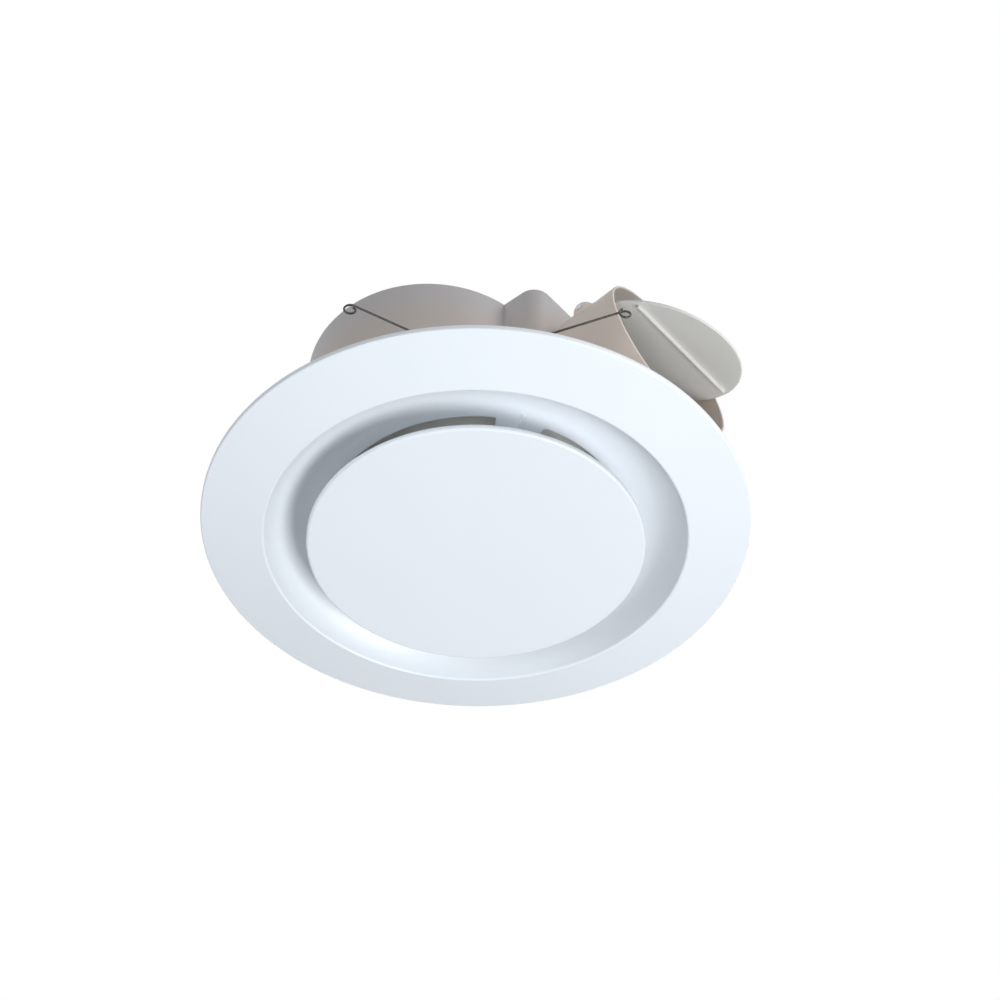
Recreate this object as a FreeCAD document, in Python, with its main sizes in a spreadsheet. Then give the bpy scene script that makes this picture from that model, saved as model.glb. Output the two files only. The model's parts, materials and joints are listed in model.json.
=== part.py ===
"""Ceiling exhaust fan with a side duct outlet, in millimetres.

The frame has +Z up, its origin on the fascia's axis in the plane of the ceiling's underside,
and +X along the outlet duct.
"""
import FreeCAD, Part
import math
import os
import re
import Sketcher

Vector = FreeCAD.Vector
AXIS_X = Vector(1, 0, 0)
AXIS_Y = Vector(0, 1, 0)
AXIS_Z = Vector(0, 0, 1)

# Driving dimensions: name, millimetres or degrees
SIZES = (
    ("fascia_radius", 147.5),
    ("fascia_wall", 2.4),
    ("fascia_drop", 9.6),
    ("rim_lip", 3.2),
    ("rim_width", 3.0),
    ("cone_width", 34.0),
    ("trough_width", 25.5),
    ("trough_depth", 17.2),
    ("bore_margin", 16.0),
    ("slot_margin", 7.0),
    ("slot_width", 20.0),
    ("slot_angle", 72.0),
    ("slot_count", 4),
    ("web_azimuth", -33.0),
    ("seat_rib_inset", 10.5),
    ("disc_gap", 22.8),
    ("disc_thickness", 3.2),
    ("disc_edge", 1.8),
    ("disc_below_trough", 2.4),
    ("pillar_radius", 4.0),
    ("gasket_thickness", 1.0),
    ("gasket_width", 8.7),
    ("flange_inset", 14.5),
    ("flange_thickness", 1.6),
    ("flange_width", 15.5),
    ("pan_draft", 16.0),
    ("pan_height", 20.5),
    ("pan_wall", 2.5),
    ("inlet_overlap", 6.5),
    ("bell_wall", 2.2),
    ("bell_height", 15.5),
    ("bell_flare", 7.5),
    ("bell_flange", 6.5),
    ("scroll_x", -19.5),
    ("scroll_y", -20.4),
    ("scroll_radius", 69.3),
    ("scroll_growth", 9.7),
    ("shell_wall", 2.5),
    ("shell_height", 103.0),
    ("outlet_end_x", 72.0),
    ("outlet_near_y", -34.0),
    ("near_corner", 10.0),
    ("far_corner", 12.0),
    ("cover_wall", 2.5),
    ("boss_radius", 4.0),
    ("boss_stand_off", 1.5),
    ("boss_overlap", 1.0),
    ("third_boss_back", 48.0),
    ("spigot_radius", 51.0),
    ("spigot_wall", 2.7),
    ("spigot_land", 14.0),
    ("land_step", 1.2),
    ("spigot_end_x", 117.9),
    ("spigot_y", 24.4),
    ("spigot_z", 79.0),
    ("spigot_tilt", 8.5),
    ("spigot_flange", 3.0),
    ("plate_corner_width", 26.0),
    ("plate_corner_height", 38.0),
    ("spindle_radius", 2.0),
    ("spindle_back", 21.8),
    ("spindle_drop", 25.1),
    ("spindle_boss_radius", 3.8),
    ("spindle_boss_stand", 3.0),
    ("running_gap", 0.05),
    ("flap_clearance", 2.8),
    ("flap_thickness", 1.6),
    ("flap_opening", 55.0),
    ("flap_barrel_radius", 3.4),
    ("flap_side_gap", 1.3),
    ("flap_rib_offset", 14.8),
    ("flap_rib_height", 1.8),
    ("flap_rib_width", 1.4),
    ("seat_overlap", 1.5),
    ("seat_depth", 2.5),
    ("seat_gap", 0.3),
    ("tongue_gap", 5.3),
    ("blade_depth", 9.0),
    ("blade_thickness", 1.2),
    ("blade_curve", 8.2),
    ("blade_end_inset", 0.3),
    ("blade_count", 28),
    ("impeller_headroom", 29.0),
    ("impeller_lift", 12.5),
    ("impeller_plate", 2.5),
    ("impeller_ring", 2.0),
    ("hub_radius", 9.0),
    ("hub_drop", 34.0),
    ("hub_height", 18.0),
    ("shaft_radius", 4.0),
    ("shaft_end_gap", 1.0),
    ("clip_radius", 7.0),
    ("clip_thickness", 3.0),
    ("motor_share", 0.6476),
    ("motor_height", 36.5),
    ("motor_wall", 2.0),
    ("motor_flange", 12.0),
    ("motor_bolt_margin", 6.0),
    ("grommet_height", 2.0),
    ("grommet_radius", 5.5),
    ("bearing_radius", 8.0),
    ("bearing_length", 6.5),
    ("stator_share", 0.594),
    ("stator_height", 18.0),
    ("winding_height", 4.0),
    ("rotor_gap", 0.5),
    ("screw_head_radius", 3.6),
    ("screw_head_height", 2.4),
    ("screw_radius", 1.9),
    ("screw_length", 12.0),
    ("screw_gap", 0.15),
    ("spring_azimuth", -47.5),
    ("spring_inset", 3.5),
    ("spring_z", 19.0),
    ("left_arm_rise", 32.0),
    ("right_arm_rise", 27.5),
    ("wire_radius", 0.6),
    ("coil_radius", 4.5),
    ("coil_pitch", 1.75),
    ("coil_half_gap", 0.3),
    ("arm_length", 77.0),
    ("eye_radius", 2.9),
    ("pin_gap", 0.4),
    ("lug_gap", 0.5),
    ("lug_thickness", 3.0),
    ("lug_width", 16.0),
    ("lug_rise", 7.0),
    ("terminal_side_gap", 2.2),
    ("terminal_gap", 4.0),
    ("terminal_width", 26.0),
    ("terminal_height", 30.0),
    ("terminal_wall", 2.0),
    ("terminal_lid", 2.5),
    ("block_length", 13.0),
    ("block_width", 10.0),
    ("block_height", 12.0),
    ("gland_rise", 16.5),
    ("gland_bore", 4.0),
    ("gland_radius", 6.0),
    ("gland_nut_radius", 8.5),
    ("gland_nut_length", 4.0),
    ("gland_tail", 8.0),
)
SIZE_NAMES = {name for name, _ in SIZES}
COIL_QUARTERS = 5
EYE_QUARTERS = 4
BOSS_AZIMUTHS = (100, 150)
MOTOR_BOLT_AZIMUTHS = (90, 210, 330)

doc = FreeCAD.newDocument("exhaust_fan")
sheet = doc.addObject("Spreadsheet::Sheet", "sizes")
for row, (alias, number) in enumerate(SIZES, start=1):
    sheet.set(f"A{row}", alias)
    sheet.set(f"B{row}", str(number))
    sheet.setAlias(f"B{row}", alias)
doc.recompute()

pieces = {}


def bound(text):
    """Expression in which every size name points at its sheet cell."""
    return re.sub(r"[a-z][a-z_]*", lambda word: sheet_name(word.group()), text)


def sheet_name(word):
    return f"sizes.{word}" if word in SIZE_NAMES else word


def value(text):
    """Number that an expression of sizes has now."""
    return float(sheet.evalExpression(bound(text)))


def bind(thing, path, text):
    thing.setExpression(path, bound(text))


def place(thing, at, axis=AXIS_Z, angle="0"):
    """Bind an object's position, and its turn about one axis."""
    thing.Placement = FreeCAD.Placement(Vector(), FreeCAD.Rotation(axis, value(angle)))
    if angle != "0":
        bind(thing, "Placement.Rotation.Angle", angle)
    for letter, text in zip("xyz", at):
        bind(thing, f"Placement.Base.{letter}", text)
    return thing


def cylinder(name, radius, height, at, axis=AXIS_Z, angle="0", sector="360"):
    thing = doc.addObject("Part::Cylinder", name)
    bind(thing, "Radius", radius)
    bind(thing, "Height", height)
    bind(thing, "Angle", sector)
    return place(thing, at, axis, angle)


def box(name, length, width, height, at, axis=AXIS_Z, angle="0"):
    thing = doc.addObject("Part::Box", name)
    bind(thing, "Length", length)
    bind(thing, "Width", width)
    bind(thing, "Height", height)
    return place(thing, at, axis, angle)


def fuse(name, *things):
    thing = doc.addObject("Part::MultiFuse", name)
    thing.Shapes = list(things)
    return thing


def cut(name, base, *tools):
    thing = doc.addObject("Part::Cut", name)
    thing.Base = base
    thing.Tool = tools[0] if len(tools) == 1 else fuse(f"{name}_tools", *tools)
    return thing


def group(name, things):
    thing = doc.addObject("Part::Compound", name)
    thing.Links = list(things)
    return thing


def tube(name, outer, inner, height, at, axis=AXIS_Z, angle="0"):
    return cut(name, cylinder(f"{name}_outer", outer, height, at, axis, angle),
               cylinder(f"{name}_bore", inner, height, at, axis, angle))


def piece(node, thing):
    """Keep an object as the sub-part of this name."""
    thing.Label = node
    pieces[node] = thing
    return thing


def new_sketch(body, name, role, height="0"):
    sketch = body.newObject("Sketcher::SketchObject", name)
    plane = next(item for item in body.Origin.OriginFeatures if item.Role == role)
    sketch.AttachmentSupport = (plane, [""])
    sketch.MapMode = "FlatFace"
    bind(sketch, "AttachmentOffset.Base.z", height)
    return sketch


def constrain(sketch, kind, items, text):
    """Add a dimension to a sketch and bind it to an expression."""
    index = sketch.addConstraint(Sketcher.Constraint(kind, *items, value(text)))
    sketch.renameConstraint(index, f"size_{index}")
    bind(sketch, f"Constraints.size_{index}", text)


def draw_loop(sketch, corners, arcs=None, level=()):
    """Draw one closed loop.

    Each corner is (x, y, pins): pins says which of its coordinates are dimensions, and the
    rest follow from the arcs. arcs maps a corner's index to the centre (x, y) and the radius
    of the arc that leaves it, where the radius may be None. level lists the level lines.
    """
    arcs = arcs or {}
    points = [Vector(value(x), value(y), 0) for x, y, _ in corners]
    edges = []
    for index, start in enumerate(points):
        end = points[(index + 1) % len(points)]
        if index not in arcs:
            edges.append((sketch.addGeometry(Part.LineSegment(start, end)), 1, 2))
            continue
        centre = Vector(value(arcs[index][0]), value(arcs[index][1]), 0)
        circle = Part.Circle(centre, AXIS_Z, start.distanceToPoint(centre))
        first, last = (math.atan2(p.y - centre.y, p.x - centre.x) for p in (start, end))
        sweep = (last - first) % math.tau
        if sweep <= math.pi:
            edges.append((sketch.addGeometry(Part.ArcOfCircle(circle, first, first + sweep)), 1, 2))
        else:
            back = math.tau - sweep
            edges.append((sketch.addGeometry(Part.ArcOfCircle(circle, last, last + back)), 2, 1))
    for index, (edge, _, far) in enumerate(edges):
        following, near, _ = edges[(index + 1) % len(edges)]
        sketch.addConstraint(Sketcher.Constraint("Coincident", edge, far, following, near))
    for index, (edge, near, _) in enumerate(edges):
        x, y, pins = corners[index]
        if "x" in pins:
            constrain(sketch, "DistanceX", (-1, 1, edge, near), x)
        if "y" in pins:
            constrain(sketch, "DistanceY", (-1, 1, edge, near), y)
        if index in arcs:
            centre_x, centre_y, radius = arcs[index]
            constrain(sketch, "DistanceX", (-1, 1, edge, 3), centre_x)
            constrain(sketch, "DistanceY", (-1, 1, edge, 3), centre_y)
            if radius:
                constrain(sketch, "Radius", (edge,), radius)
        if index in level:
            sketch.addConstraint(Sketcher.Constraint("Horizontal", edge))


def turn(body, name, corners, arcs=None):
    """Add a full turn of a profile, given as radius and height, to a body."""
    sketch = new_sketch(body, f"{name}_profile", "XZ_Plane")
    draw_loop(sketch, corners, arcs)
    feature = body.newObject("PartDesign::Revolution", f"{name}_turn")
    feature.Profile = sketch
    feature.ReferenceAxis = (sketch, ["V_Axis"])
    feature.Angle = 360
    return feature


def turned(name, corners, arcs=None, at=("0", "0", "0")):
    """Body turned from one profile, about an upright axis at the given place."""
    body = doc.addObject("PartDesign::Body", name)
    turn(body, name, [(r, z, "xy") if len(rest) == 0 else (r, z, rest[0])
                      for r, z, *rest in corners], arcs)
    return place(body, at)


def screws(node, places, length, axis=AXIS_Z, angle="0"):
    """Group of screws whose heads seat at the given places, and the holes for them.

    Unturned, a screw points down: its head is above the place and its shank below.
    """
    turn_about = FreeCAD.Rotation(axis, value(angle))
    down = turn_about.multVec(Vector(0, 0, -1))
    made, holes = [], []
    for number, at in enumerate(places):
        shank_at = [f"{text} + ({component:.0f}) * ({length})" for text, component in zip(at, down)]
        head = cylinder(f"{node}_head_{number}", "screw_head_radius", "screw_head_height", at, axis, angle)
        shank = cylinder(f"{node}_shank_{number}", "screw_radius", length, shank_at, axis, angle)
        made.append(fuse(f"{node}_{number}", head, shank))
        holes.append(cylinder(f"{node}_hole_{number}", "screw_radius + screw_gap", length,
                              shank_at, axis, angle))
    piece(node, group(node, made))
    return holes


# Heights and places that follow from the sizes
PLATE_Z = "(trough_depth - fascia_drop)"
TROUGH_EDGE = "(fascia_radius - cone_width)"
TROUGH_R = f"({TROUGH_EDGE} - trough_width)"
SLOT_OUTER = f"({TROUGH_R} - slot_margin)"
SLOT_INNER = f"({SLOT_OUTER} - slot_width)"
PLATE_BORE = f"({SLOT_INNER} - bore_margin)"
DISC_RADIUS = f"({TROUGH_EDGE} - disc_gap)"
FLANGE_RADIUS = "(fascia_radius - flange_inset)"
PAN_BASE = f"({FLANGE_RADIUS} - flange_width)"
PAN_TOP = f"({PAN_BASE} - pan_draft)"
SPRING_CIRCLE = f"({PAN_BASE} - spring_inset)"
TROUGH_CURVE = "((trough_width ^ 2 + trough_depth ^ 2) / (2 * trough_depth))"
TROUGH_CENTRE_Z = f"({PLATE_Z} - {TROUGH_CURVE})"
FLANGE_TOP = "(-gasket_thickness)"
FLANGE_BOTTOM = "(-gasket_thickness - flange_thickness)"
DISC_FACE = "(-fascia_drop - disc_below_trough)"
DISC_BACK = f"({DISC_FACE} + disc_thickness)"
SHELL_TOP = "(pan_height + shell_height)"
COVER_TOP = f"({SHELL_TOP} + cover_wall)"
FAR_Y = "(scroll_y + scroll_radius + 3 * scroll_growth)"
LAST_RADIUS = "(scroll_radius + 2 * scroll_growth)"
LAST_X = "(scroll_x + scroll_growth)"
LAST_Y = "(scroll_y + scroll_growth)"
SPIGOT_BORE = "(spigot_radius - spigot_wall)"
SPIGOT_TURN = "(90 - spigot_tilt)"
FLAP_RADIUS = f"({SPIGOT_BORE} - flap_clearance)"
SPINDLE_RISE = f"({SPIGOT_BORE} - spindle_drop)"
BOSS_REACH = f"(sqrt(spigot_radius ^ 2 - {SPINDLE_RISE} ^ 2) + spindle_boss_stand)"
PIVOT_X = f"(spigot_end_x - spindle_back * cos(spigot_tilt) - {SPINDLE_RISE} * sin(spigot_tilt))"
PIVOT_Z = f"(spigot_z - spindle_back * sin(spigot_tilt) + {SPINDLE_RISE} * cos(spigot_tilt))"
FLAP_LEAN = "(flap_opening + spigot_tilt)"
FLAP_TURN = f"(90 - {FLAP_LEAN})"
IMPELLER_RADIUS = "(scroll_radius - shell_wall - tongue_gap)"
EYE_RADIUS = f"({IMPELLER_RADIUS} - blade_depth)"
IMPELLER_Z = "(pan_height + impeller_lift)"
IMPELLER_TOP = f"({SHELL_TOP} - impeller_headroom)"
INLET_RADIUS = f"({EYE_RADIUS} - inlet_overlap)"
MOTOR_RADIUS = f"({EYE_RADIUS} * motor_share)"
MOTOR_FLANGE_RADIUS = f"({MOTOR_RADIUS} + motor_flange)"
MOTOR_BOLT_CIRCLE = f"({MOTOR_RADIUS} + motor_bolt_margin)"
HUB_Z = f"({IMPELLER_TOP} - impeller_plate - hub_drop)"
MOTOR_TOP = f"({SHELL_TOP} - grommet_height)"
MOTOR_Z = f"({MOTOR_TOP} - motor_height)"
MOTOR_BORE = f"({MOTOR_RADIUS} - motor_wall)"
STATOR_BORE = f"({MOTOR_BORE} * stator_share)"
STATOR_Z = f"({MOTOR_Z} + motor_wall + winding_height + motor_wall)"
TERMINAL_X = "(scroll_x + scroll_radius + terminal_side_gap)"
FAN_AXIS = ("scroll_x", "scroll_y", "0")
slot_total = int(value("slot_count"))
slot_pitch = 360 / slot_total


def fascia():
    """Ceiling ring with its dished trough and arc slots, and the floating disc."""
    def back_of_cone(radius):
        slope = "(fascia_drop - rim_lip) / cone_width"
        return f"-rim_lip + fascia_wall - (fascia_radius - rim_width - ({radius})) * {slope}"

    centre = (TROUGH_R, TROUGH_CENTRE_Z, None)
    shoulder = f"({TROUGH_EDGE} + fascia_wall / 2)"
    shoulder_z = (f"({TROUGH_CENTRE_Z} + sqrt(({TROUGH_CURVE} + fascia_wall) ^ 2"
                  " - (trough_width + fascia_wall / 2) ^ 2))")
    rib = f"({TROUGH_EDGE} + seat_rib_inset)"
    rib_outer = f"({rib} + fascia_wall)"
    shell = turned("fascia_shell", (
        ("fascia_radius", "0"),
        ("fascia_radius", "-rim_lip"),
        (TROUGH_EDGE, "-fascia_drop"),
        (TROUGH_R, PLATE_Z, "x"),
        (PLATE_BORE, PLATE_Z),
        (PLATE_BORE, f"{PLATE_Z} + fascia_wall"),
        (TROUGH_R, f"{PLATE_Z} + fascia_wall"),
        (shoulder, shoulder_z, "x"),
        (rib, back_of_cone(rib)),
        (rib, FLANGE_BOTTOM),
        (rib_outer, FLANGE_BOTTOM),
        (rib_outer, back_of_cone(rib_outer)),
        ("fascia_radius - rim_width", "-rim_lip + fascia_wall"),
        ("fascia_radius - rim_width", "0"),
    ), {2: centre, 6: centre})
    through = "(3 * fascia_wall)"
    below = ("0", "0", f"{PLATE_Z} - fascia_wall")
    sectors = []
    for number in range(slot_total):
        start = f"web_azimuth + ({slot_pitch} - slot_angle) / 2 + {number * slot_pitch}"
        sectors.append(cylinder(f"slot_{number}", SLOT_OUTER, through, below,
                                angle=start, sector="slot_angle"))
    core = cylinder("slot_core", SLOT_INNER, through, below)
    slots = cut("slots", fuse("slot_sectors", *sectors), core)
    piece("fascia_ring", cut("fascia_slotted", shell, slots))

    plate = turned("disc_plate", (
        ("0", DISC_FACE),
        (f"{DISC_RADIUS} - disc_edge", DISC_FACE),
        (DISC_RADIUS, f"{DISC_FACE} + disc_edge"),
        (DISC_RADIUS, DISC_BACK),
        ("0", DISC_BACK),
    ))
    pillar_circle = f"(({SLOT_OUTER} + {SLOT_INNER}) / 2)"
    pillars = []
    for number in range(slot_total):
        azimuth = f"(web_azimuth + {number * slot_pitch})"
        foot = (f"{pillar_circle} * cos({azimuth})", f"{pillar_circle} * sin({azimuth})", DISC_BACK)
        pillars.append(cylinder(f"disc_pillar_{number}", "pillar_radius", f"{PLATE_Z} - {DISC_BACK}", foot))
    piece("fascia_disc", fuse("disc_with_pillars", plate, *pillars))


def pan(plate_holes):
    """Round pan with the ceiling flange, the inlet hole and the two spring lugs."""
    lean = "(pan_draft / (pan_height + gasket_thickness))"
    slant = f"(pan_wall * sqrt(1 + {lean} ^ 2))"
    shell = turned("pan_shell", (
        (FLANGE_RADIUS, FLANGE_BOTTOM),
        (FLANGE_RADIUS, FLANGE_TOP),
        (PAN_BASE, FLANGE_TOP),
        (PAN_TOP, "pan_height"),
        ("0", "pan_height"),
        ("0", "pan_height - pan_wall"),
        (f"{PAN_TOP} - {slant}", "pan_height - pan_wall"),
        (f"{PAN_BASE} - {slant}", FLANGE_BOTTOM),
    ))
    foot = f"({FLANGE_TOP} - flange_thickness / 2)"
    lugs, holes = [], []
    for number in range(2):
        azimuth = f"(spring_azimuth + {180 * number})"
        along, across = f"cos({azimuth})", f"sin({azimuth})"
        lugs.append(box(f"lug_{number}", "lug_thickness", "lug_width", f"spring_z + lug_rise - {foot}",
                        (f"{LUG_FACE} * {along} + lug_width / 2 * {across}",
                         f"{LUG_FACE} * {across} - lug_width / 2 * {along}", foot), angle=azimuth))
        holes.append(spring_pin(f"lug_hole_{number}", azimuth, f"{PIN_RADIUS} + running_gap"))
    inlet = cylinder("pan_inlet", f"{INLET_RADIUS} + bell_flare", "2 * pan_wall",
                     ("scroll_x", "scroll_y", "pan_height - 1.5 * pan_wall"))
    whole = fuse("pan_with_lugs", shell, *lugs)
    piece("mount_pan", cut("pan_holed", whole, inlet, *holes, *plate_holes))

    gasket_outer = f"({LUG_FACE} + lug_thickness + gasket_width + lug_gap)"
    piece("ceiling_gasket", tube("gasket", gasket_outer, f"{gasket_outer} - gasket_width",
                                 "gasket_thickness", ("0", "0", FLANGE_TOP)))

    flare, throat = f"({INLET_RADIUS} + bell_flare)", INLET_RADIUS
    top = "(pan_height + bell_height)"
    bend_z = "(pan_height + bell_flare)"
    bend = (flare, bend_z, None)
    piece("inlet_bell", turned("bell", (
        (flare, "pan_height", "x"),
        (f"{flare} + bell_flange", "pan_height"),
        (f"{flare} + bell_flange", "pan_height + bell_wall"),
        (flare, "pan_height + bell_wall"),
        (f"{throat} + bell_wall", bend_z, "y"),
        (f"{throat} + bell_wall", top),
        (throat, top),
        (throat, bend_z),
    ), {3: bend, 7: bend}, FAN_AXIS))


def scroll_loop(inset):
    """Corners and arcs of the scroll's outline, drawn in by an inset."""
    near_x, near_y = "(outlet_end_x - near_corner)", "(outlet_near_y + near_corner)"
    far_x, far_y = "(outlet_end_x - far_corner)", f"({FAR_Y} - far_corner)"
    tongue = f"(scroll_x + sqrt((scroll_radius - {inset}) ^ 2 - (outlet_near_y + {inset} - scroll_y) ^ 2))"
    corners = (
        (tongue, f"outlet_near_y + {inset}", ""),
        (near_x, f"outlet_near_y + {inset}", "x"),
        (f"outlet_end_x - {inset}", near_y, "y"),
        (f"outlet_end_x - {inset}", far_y, "y"),
        (far_x, f"{FAR_Y} - {inset}", "x"),
        (LAST_X, f"{FAR_Y} - {inset}", "x"),
        (f"{LAST_X} - {LAST_RADIUS} + {inset}", LAST_Y, "y"),
        ("scroll_x", f"scroll_y - scroll_radius + {inset}", "x"),
    )
    arcs = {
        1: (near_x, near_y, f"near_corner - {inset}"),
        3: (far_x, far_y, f"far_corner - {inset}"),
        5: (LAST_X, LAST_Y, f"{LAST_RADIUS} - {inset}"),
        6: ("scroll_x", LAST_Y, None),
        7: ("scroll_x", "scroll_y", None),
    }
    return corners, arcs, (0,)


def scroll_body(name, insets, base, height):
    """Upright body between the scroll outlines of the given insets."""
    body = doc.addObject("PartDesign::Body", name)
    sketch = new_sketch(body, f"{name}_outline", "XY_Plane", base)
    for inset in insets:
        draw_loop(sketch, *scroll_loop(inset))
    pad = body.newObject("PartDesign::Pad", f"{name}_pad")
    pad.Profile = sketch
    bind(pad, "Length", height)
    return body


def boss_places():
    """Where the screw bosses stand, on the scroll's hidden side and inside its near wall."""
    reach = f"({LAST_RADIUS} + boss_stand_off)"
    inner = "(shell_wall + boss_radius - boss_overlap)"
    return (
        *((f"{LAST_X} + {reach} * cos({azimuth})", f"{LAST_Y} + {reach} * sin({azimuth})")
          for azimuth in BOSS_AZIMUTHS),
        ("outlet_end_x - third_boss_back", f"{FAR_Y} + boss_stand_off"),
        ("outlet_end_x - near_corner - boss_radius", f"outlet_near_y + {inner}"),
    )


def scroll():
    """Scroll shell, its lid and the screws that hold lid, shell and pan together."""
    places = boss_places()
    lid_holes = screws("cover_screws", [(x, y, COVER_TOP) for x, y in places], "screw_length")
    pan_places = [(x, y, "pan_height - pan_wall") for x, y in places]
    pan_holes = screws("pan_screws", pan_places, "screw_length", AXIS_X, "180")
    flange_x = "(outlet_end_x + spigot_flange)"
    near_y = "(outlet_near_y + near_corner + 1.5 * screw_head_radius)"
    far_y = f"({FAR_Y} - 2 * screw_head_radius)"
    low_z = "(pan_height + 4.5 * screw_head_radius)"
    high_z = f"({SHELL_TOP} - 4.5 * screw_head_radius)"
    spigot_places = [(flange_x, y, z) for y, z in ((near_y, low_z), (far_y, low_z), (far_y, high_z))]
    spigot_holes = screws("spigot_screws", spigot_places, "screw_length", AXIS_Y, "90")

    bosses = [cylinder(f"boss_{number}", "boss_radius", "shell_height", (x, y, "pan_height"))
              for number, (x, y) in enumerate(places)]
    wall = scroll_body("shell_walls", ("0", "shell_wall"), "pan_height", "shell_height")
    mouth = cylinder("shell_mouth", SPIGOT_BORE, f"3 * shell_wall + 2 * {MOUTH_LEAN}",
                     spigot_point(f"{MOUTH_BACK} + {MOUTH_LEAN}"), AXIS_Y, SPIGOT_TURN)
    piece("scroll_shell", cut("shell_holed", fuse("shell_with_bosses", wall, *bosses), mouth,
                              *lid_holes, *pan_holes, *spigot_holes))

    lid = scroll_body("lid_plate", ("0",), SHELL_TOP, "cover_wall")
    ears = [cylinder(f"ear_{number}", "boss_radius", "cover_wall", (x, y, SHELL_TOP))
            for number, (x, y) in enumerate(places)]
    bolt_places = [(f"scroll_x + {MOTOR_BOLT_CIRCLE} * cos({azimuth})",
                    f"scroll_y + {MOTOR_BOLT_CIRCLE} * sin({azimuth})", COVER_TOP)
                   for azimuth in MOTOR_BOLT_AZIMUTHS]
    motor_holes = screws("motor_screws", bolt_places, "screw_length")
    piece("scroll_cover", cut("lid_holed", fuse("lid_with_ears", lid, *ears), *lid_holes, *motor_holes))
    return pan_holes, spigot_holes, motor_holes, bolt_places


def spigot_point(back, rise="0"):
    """Point in the spigot's upright mid-plane, back from its mouth and up from its axis."""
    return (f"spigot_end_x - ({back}) * cos(spigot_tilt) - ({rise}) * sin(spigot_tilt)", "spigot_y",
            f"spigot_z - ({back}) * sin(spigot_tilt) + ({rise}) * cos(spigot_tilt)")


MOUTH_BACK = "((spigot_end_x - outlet_end_x + 2 * shell_wall) / cos(spigot_tilt))"
MOUTH_LEAN = f"({SPIGOT_BORE} * tan(spigot_tilt))"


def outlet(screw_holes):
    """Tilted outlet spigot with its flange and spindle bosses, the flap's stop and the flap."""
    tube_length = f"({MOUTH_BACK} + spigot_radius)"
    root = cylinder("spigot_root", "spigot_radius", f"{tube_length} - spigot_land",
                    spigot_point(tube_length), AXIS_Y, SPIGOT_TURN)
    land = cylinder("spigot_push_on_end", "spigot_radius - land_step", tube_length,
                    spigot_point(tube_length), AXIS_Y, SPIGOT_TURN)
    outer = fuse("spigot_outer", root, land)
    inner = cylinder("spigot_inner", SPIGOT_BORE, tube_length, spigot_point(tube_length),
                     AXIS_Y, SPIGOT_TURN)
    behind = box("spigot_behind", "4 * spigot_radius", "4 * spigot_radius", "4 * spigot_radius",
                 ("outlet_end_x - 4 * spigot_radius", "spigot_y - 2 * spigot_radius",
                  "spigot_z - 2 * spigot_radius"))
    plate = box("spigot_plate", "spigot_flange", f"{FAR_Y} - outlet_near_y - 1.2 * near_corner",
                "shell_height - near_corner",
                ("outlet_end_x", "outlet_near_y + near_corner", "pan_height + near_corner / 2"))
    corner = box("spigot_plate_corner", "3 * spigot_flange", "2 * plate_corner_height",
                 "2 * plate_corner_width",
                 ("outlet_end_x - spigot_flange", "outlet_near_y + near_corner",
                  f"{SHELL_TOP} - near_corner / 2 - plate_corner_height"),
                 AXIS_X, "atan(plate_corner_height / plate_corner_width)")
    flange = cut("spigot_flange_plate", plate, corner)
    boss = cylinder("spindle_bosses", "spindle_boss_radius", f"2 * {BOSS_REACH}",
                    (PIVOT_X, f"spigot_y - {BOSS_REACH}", PIVOT_Z), AXIS_X, "-90")
    spindle_hole = cylinder("spindle_hole", "spindle_radius + running_gap", f"2 * {BOSS_REACH}",
                            (PIVOT_X, f"spigot_y - {BOSS_REACH}", PIVOT_Z), AXIS_X, "-90")
    solid = fuse("spigot_solid", cut("spigot_trimmed", outer, behind), flange, boss)
    piece("duct_spigot", cut("spigot_bored", solid, inner, spindle_hole, *screw_holes))

    seat_back = "(spindle_back + flap_thickness / 2 + seat_gap + seat_depth)"
    ring = tube("seat_ring", SPIGOT_BORE, f"{FLAP_RADIUS} - seat_overlap", "seat_depth",
                spigot_point(seat_back), AXIS_Y, SPIGOT_TURN)
    clear_rise = f"({SPINDLE_RISE} - 2 * flap_barrel_radius)"
    gone = box("seat_open_top", "2 * spigot_radius", "2 * spigot_radius", "4 * seat_depth",
               spigot_corner(f"{seat_back} + seat_depth", clear_rise), AXIS_Y, SPIGOT_TURN)
    piece("damper_seat", cut("seat_part_ring", ring, gone))
    piece("damper_spindle", cylinder("spindle_rod", "spindle_radius", f"2 * {BOSS_REACH}",
                                     (PIVOT_X, f"spigot_y - {BOSS_REACH}", PIVOT_Z), AXIS_X, "-90"))
    flap()


def spigot_corner(back, rise):
    """Low corner of a box that is turned with the spigot and lies above a rise.

    The turned box's first side points down, so its far end is set at the rise.
    """
    x, _, z = spigot_point(back, f"{rise} + 2 * spigot_radius")
    return (x, "spigot_y - spigot_radius", z)


def flap_point(along, over):
    """Point on the flap: along it from the spindle, and over its middle towards the outlet."""
    return (f"{PIVOT_X} + ({along}) * sin({FLAP_LEAN}) + ({over}) * cos({FLAP_LEAN})",
            f"{PIVOT_Z} - ({along}) * cos({FLAP_LEAN}) + ({over}) * sin({FLAP_LEAN})")


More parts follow.
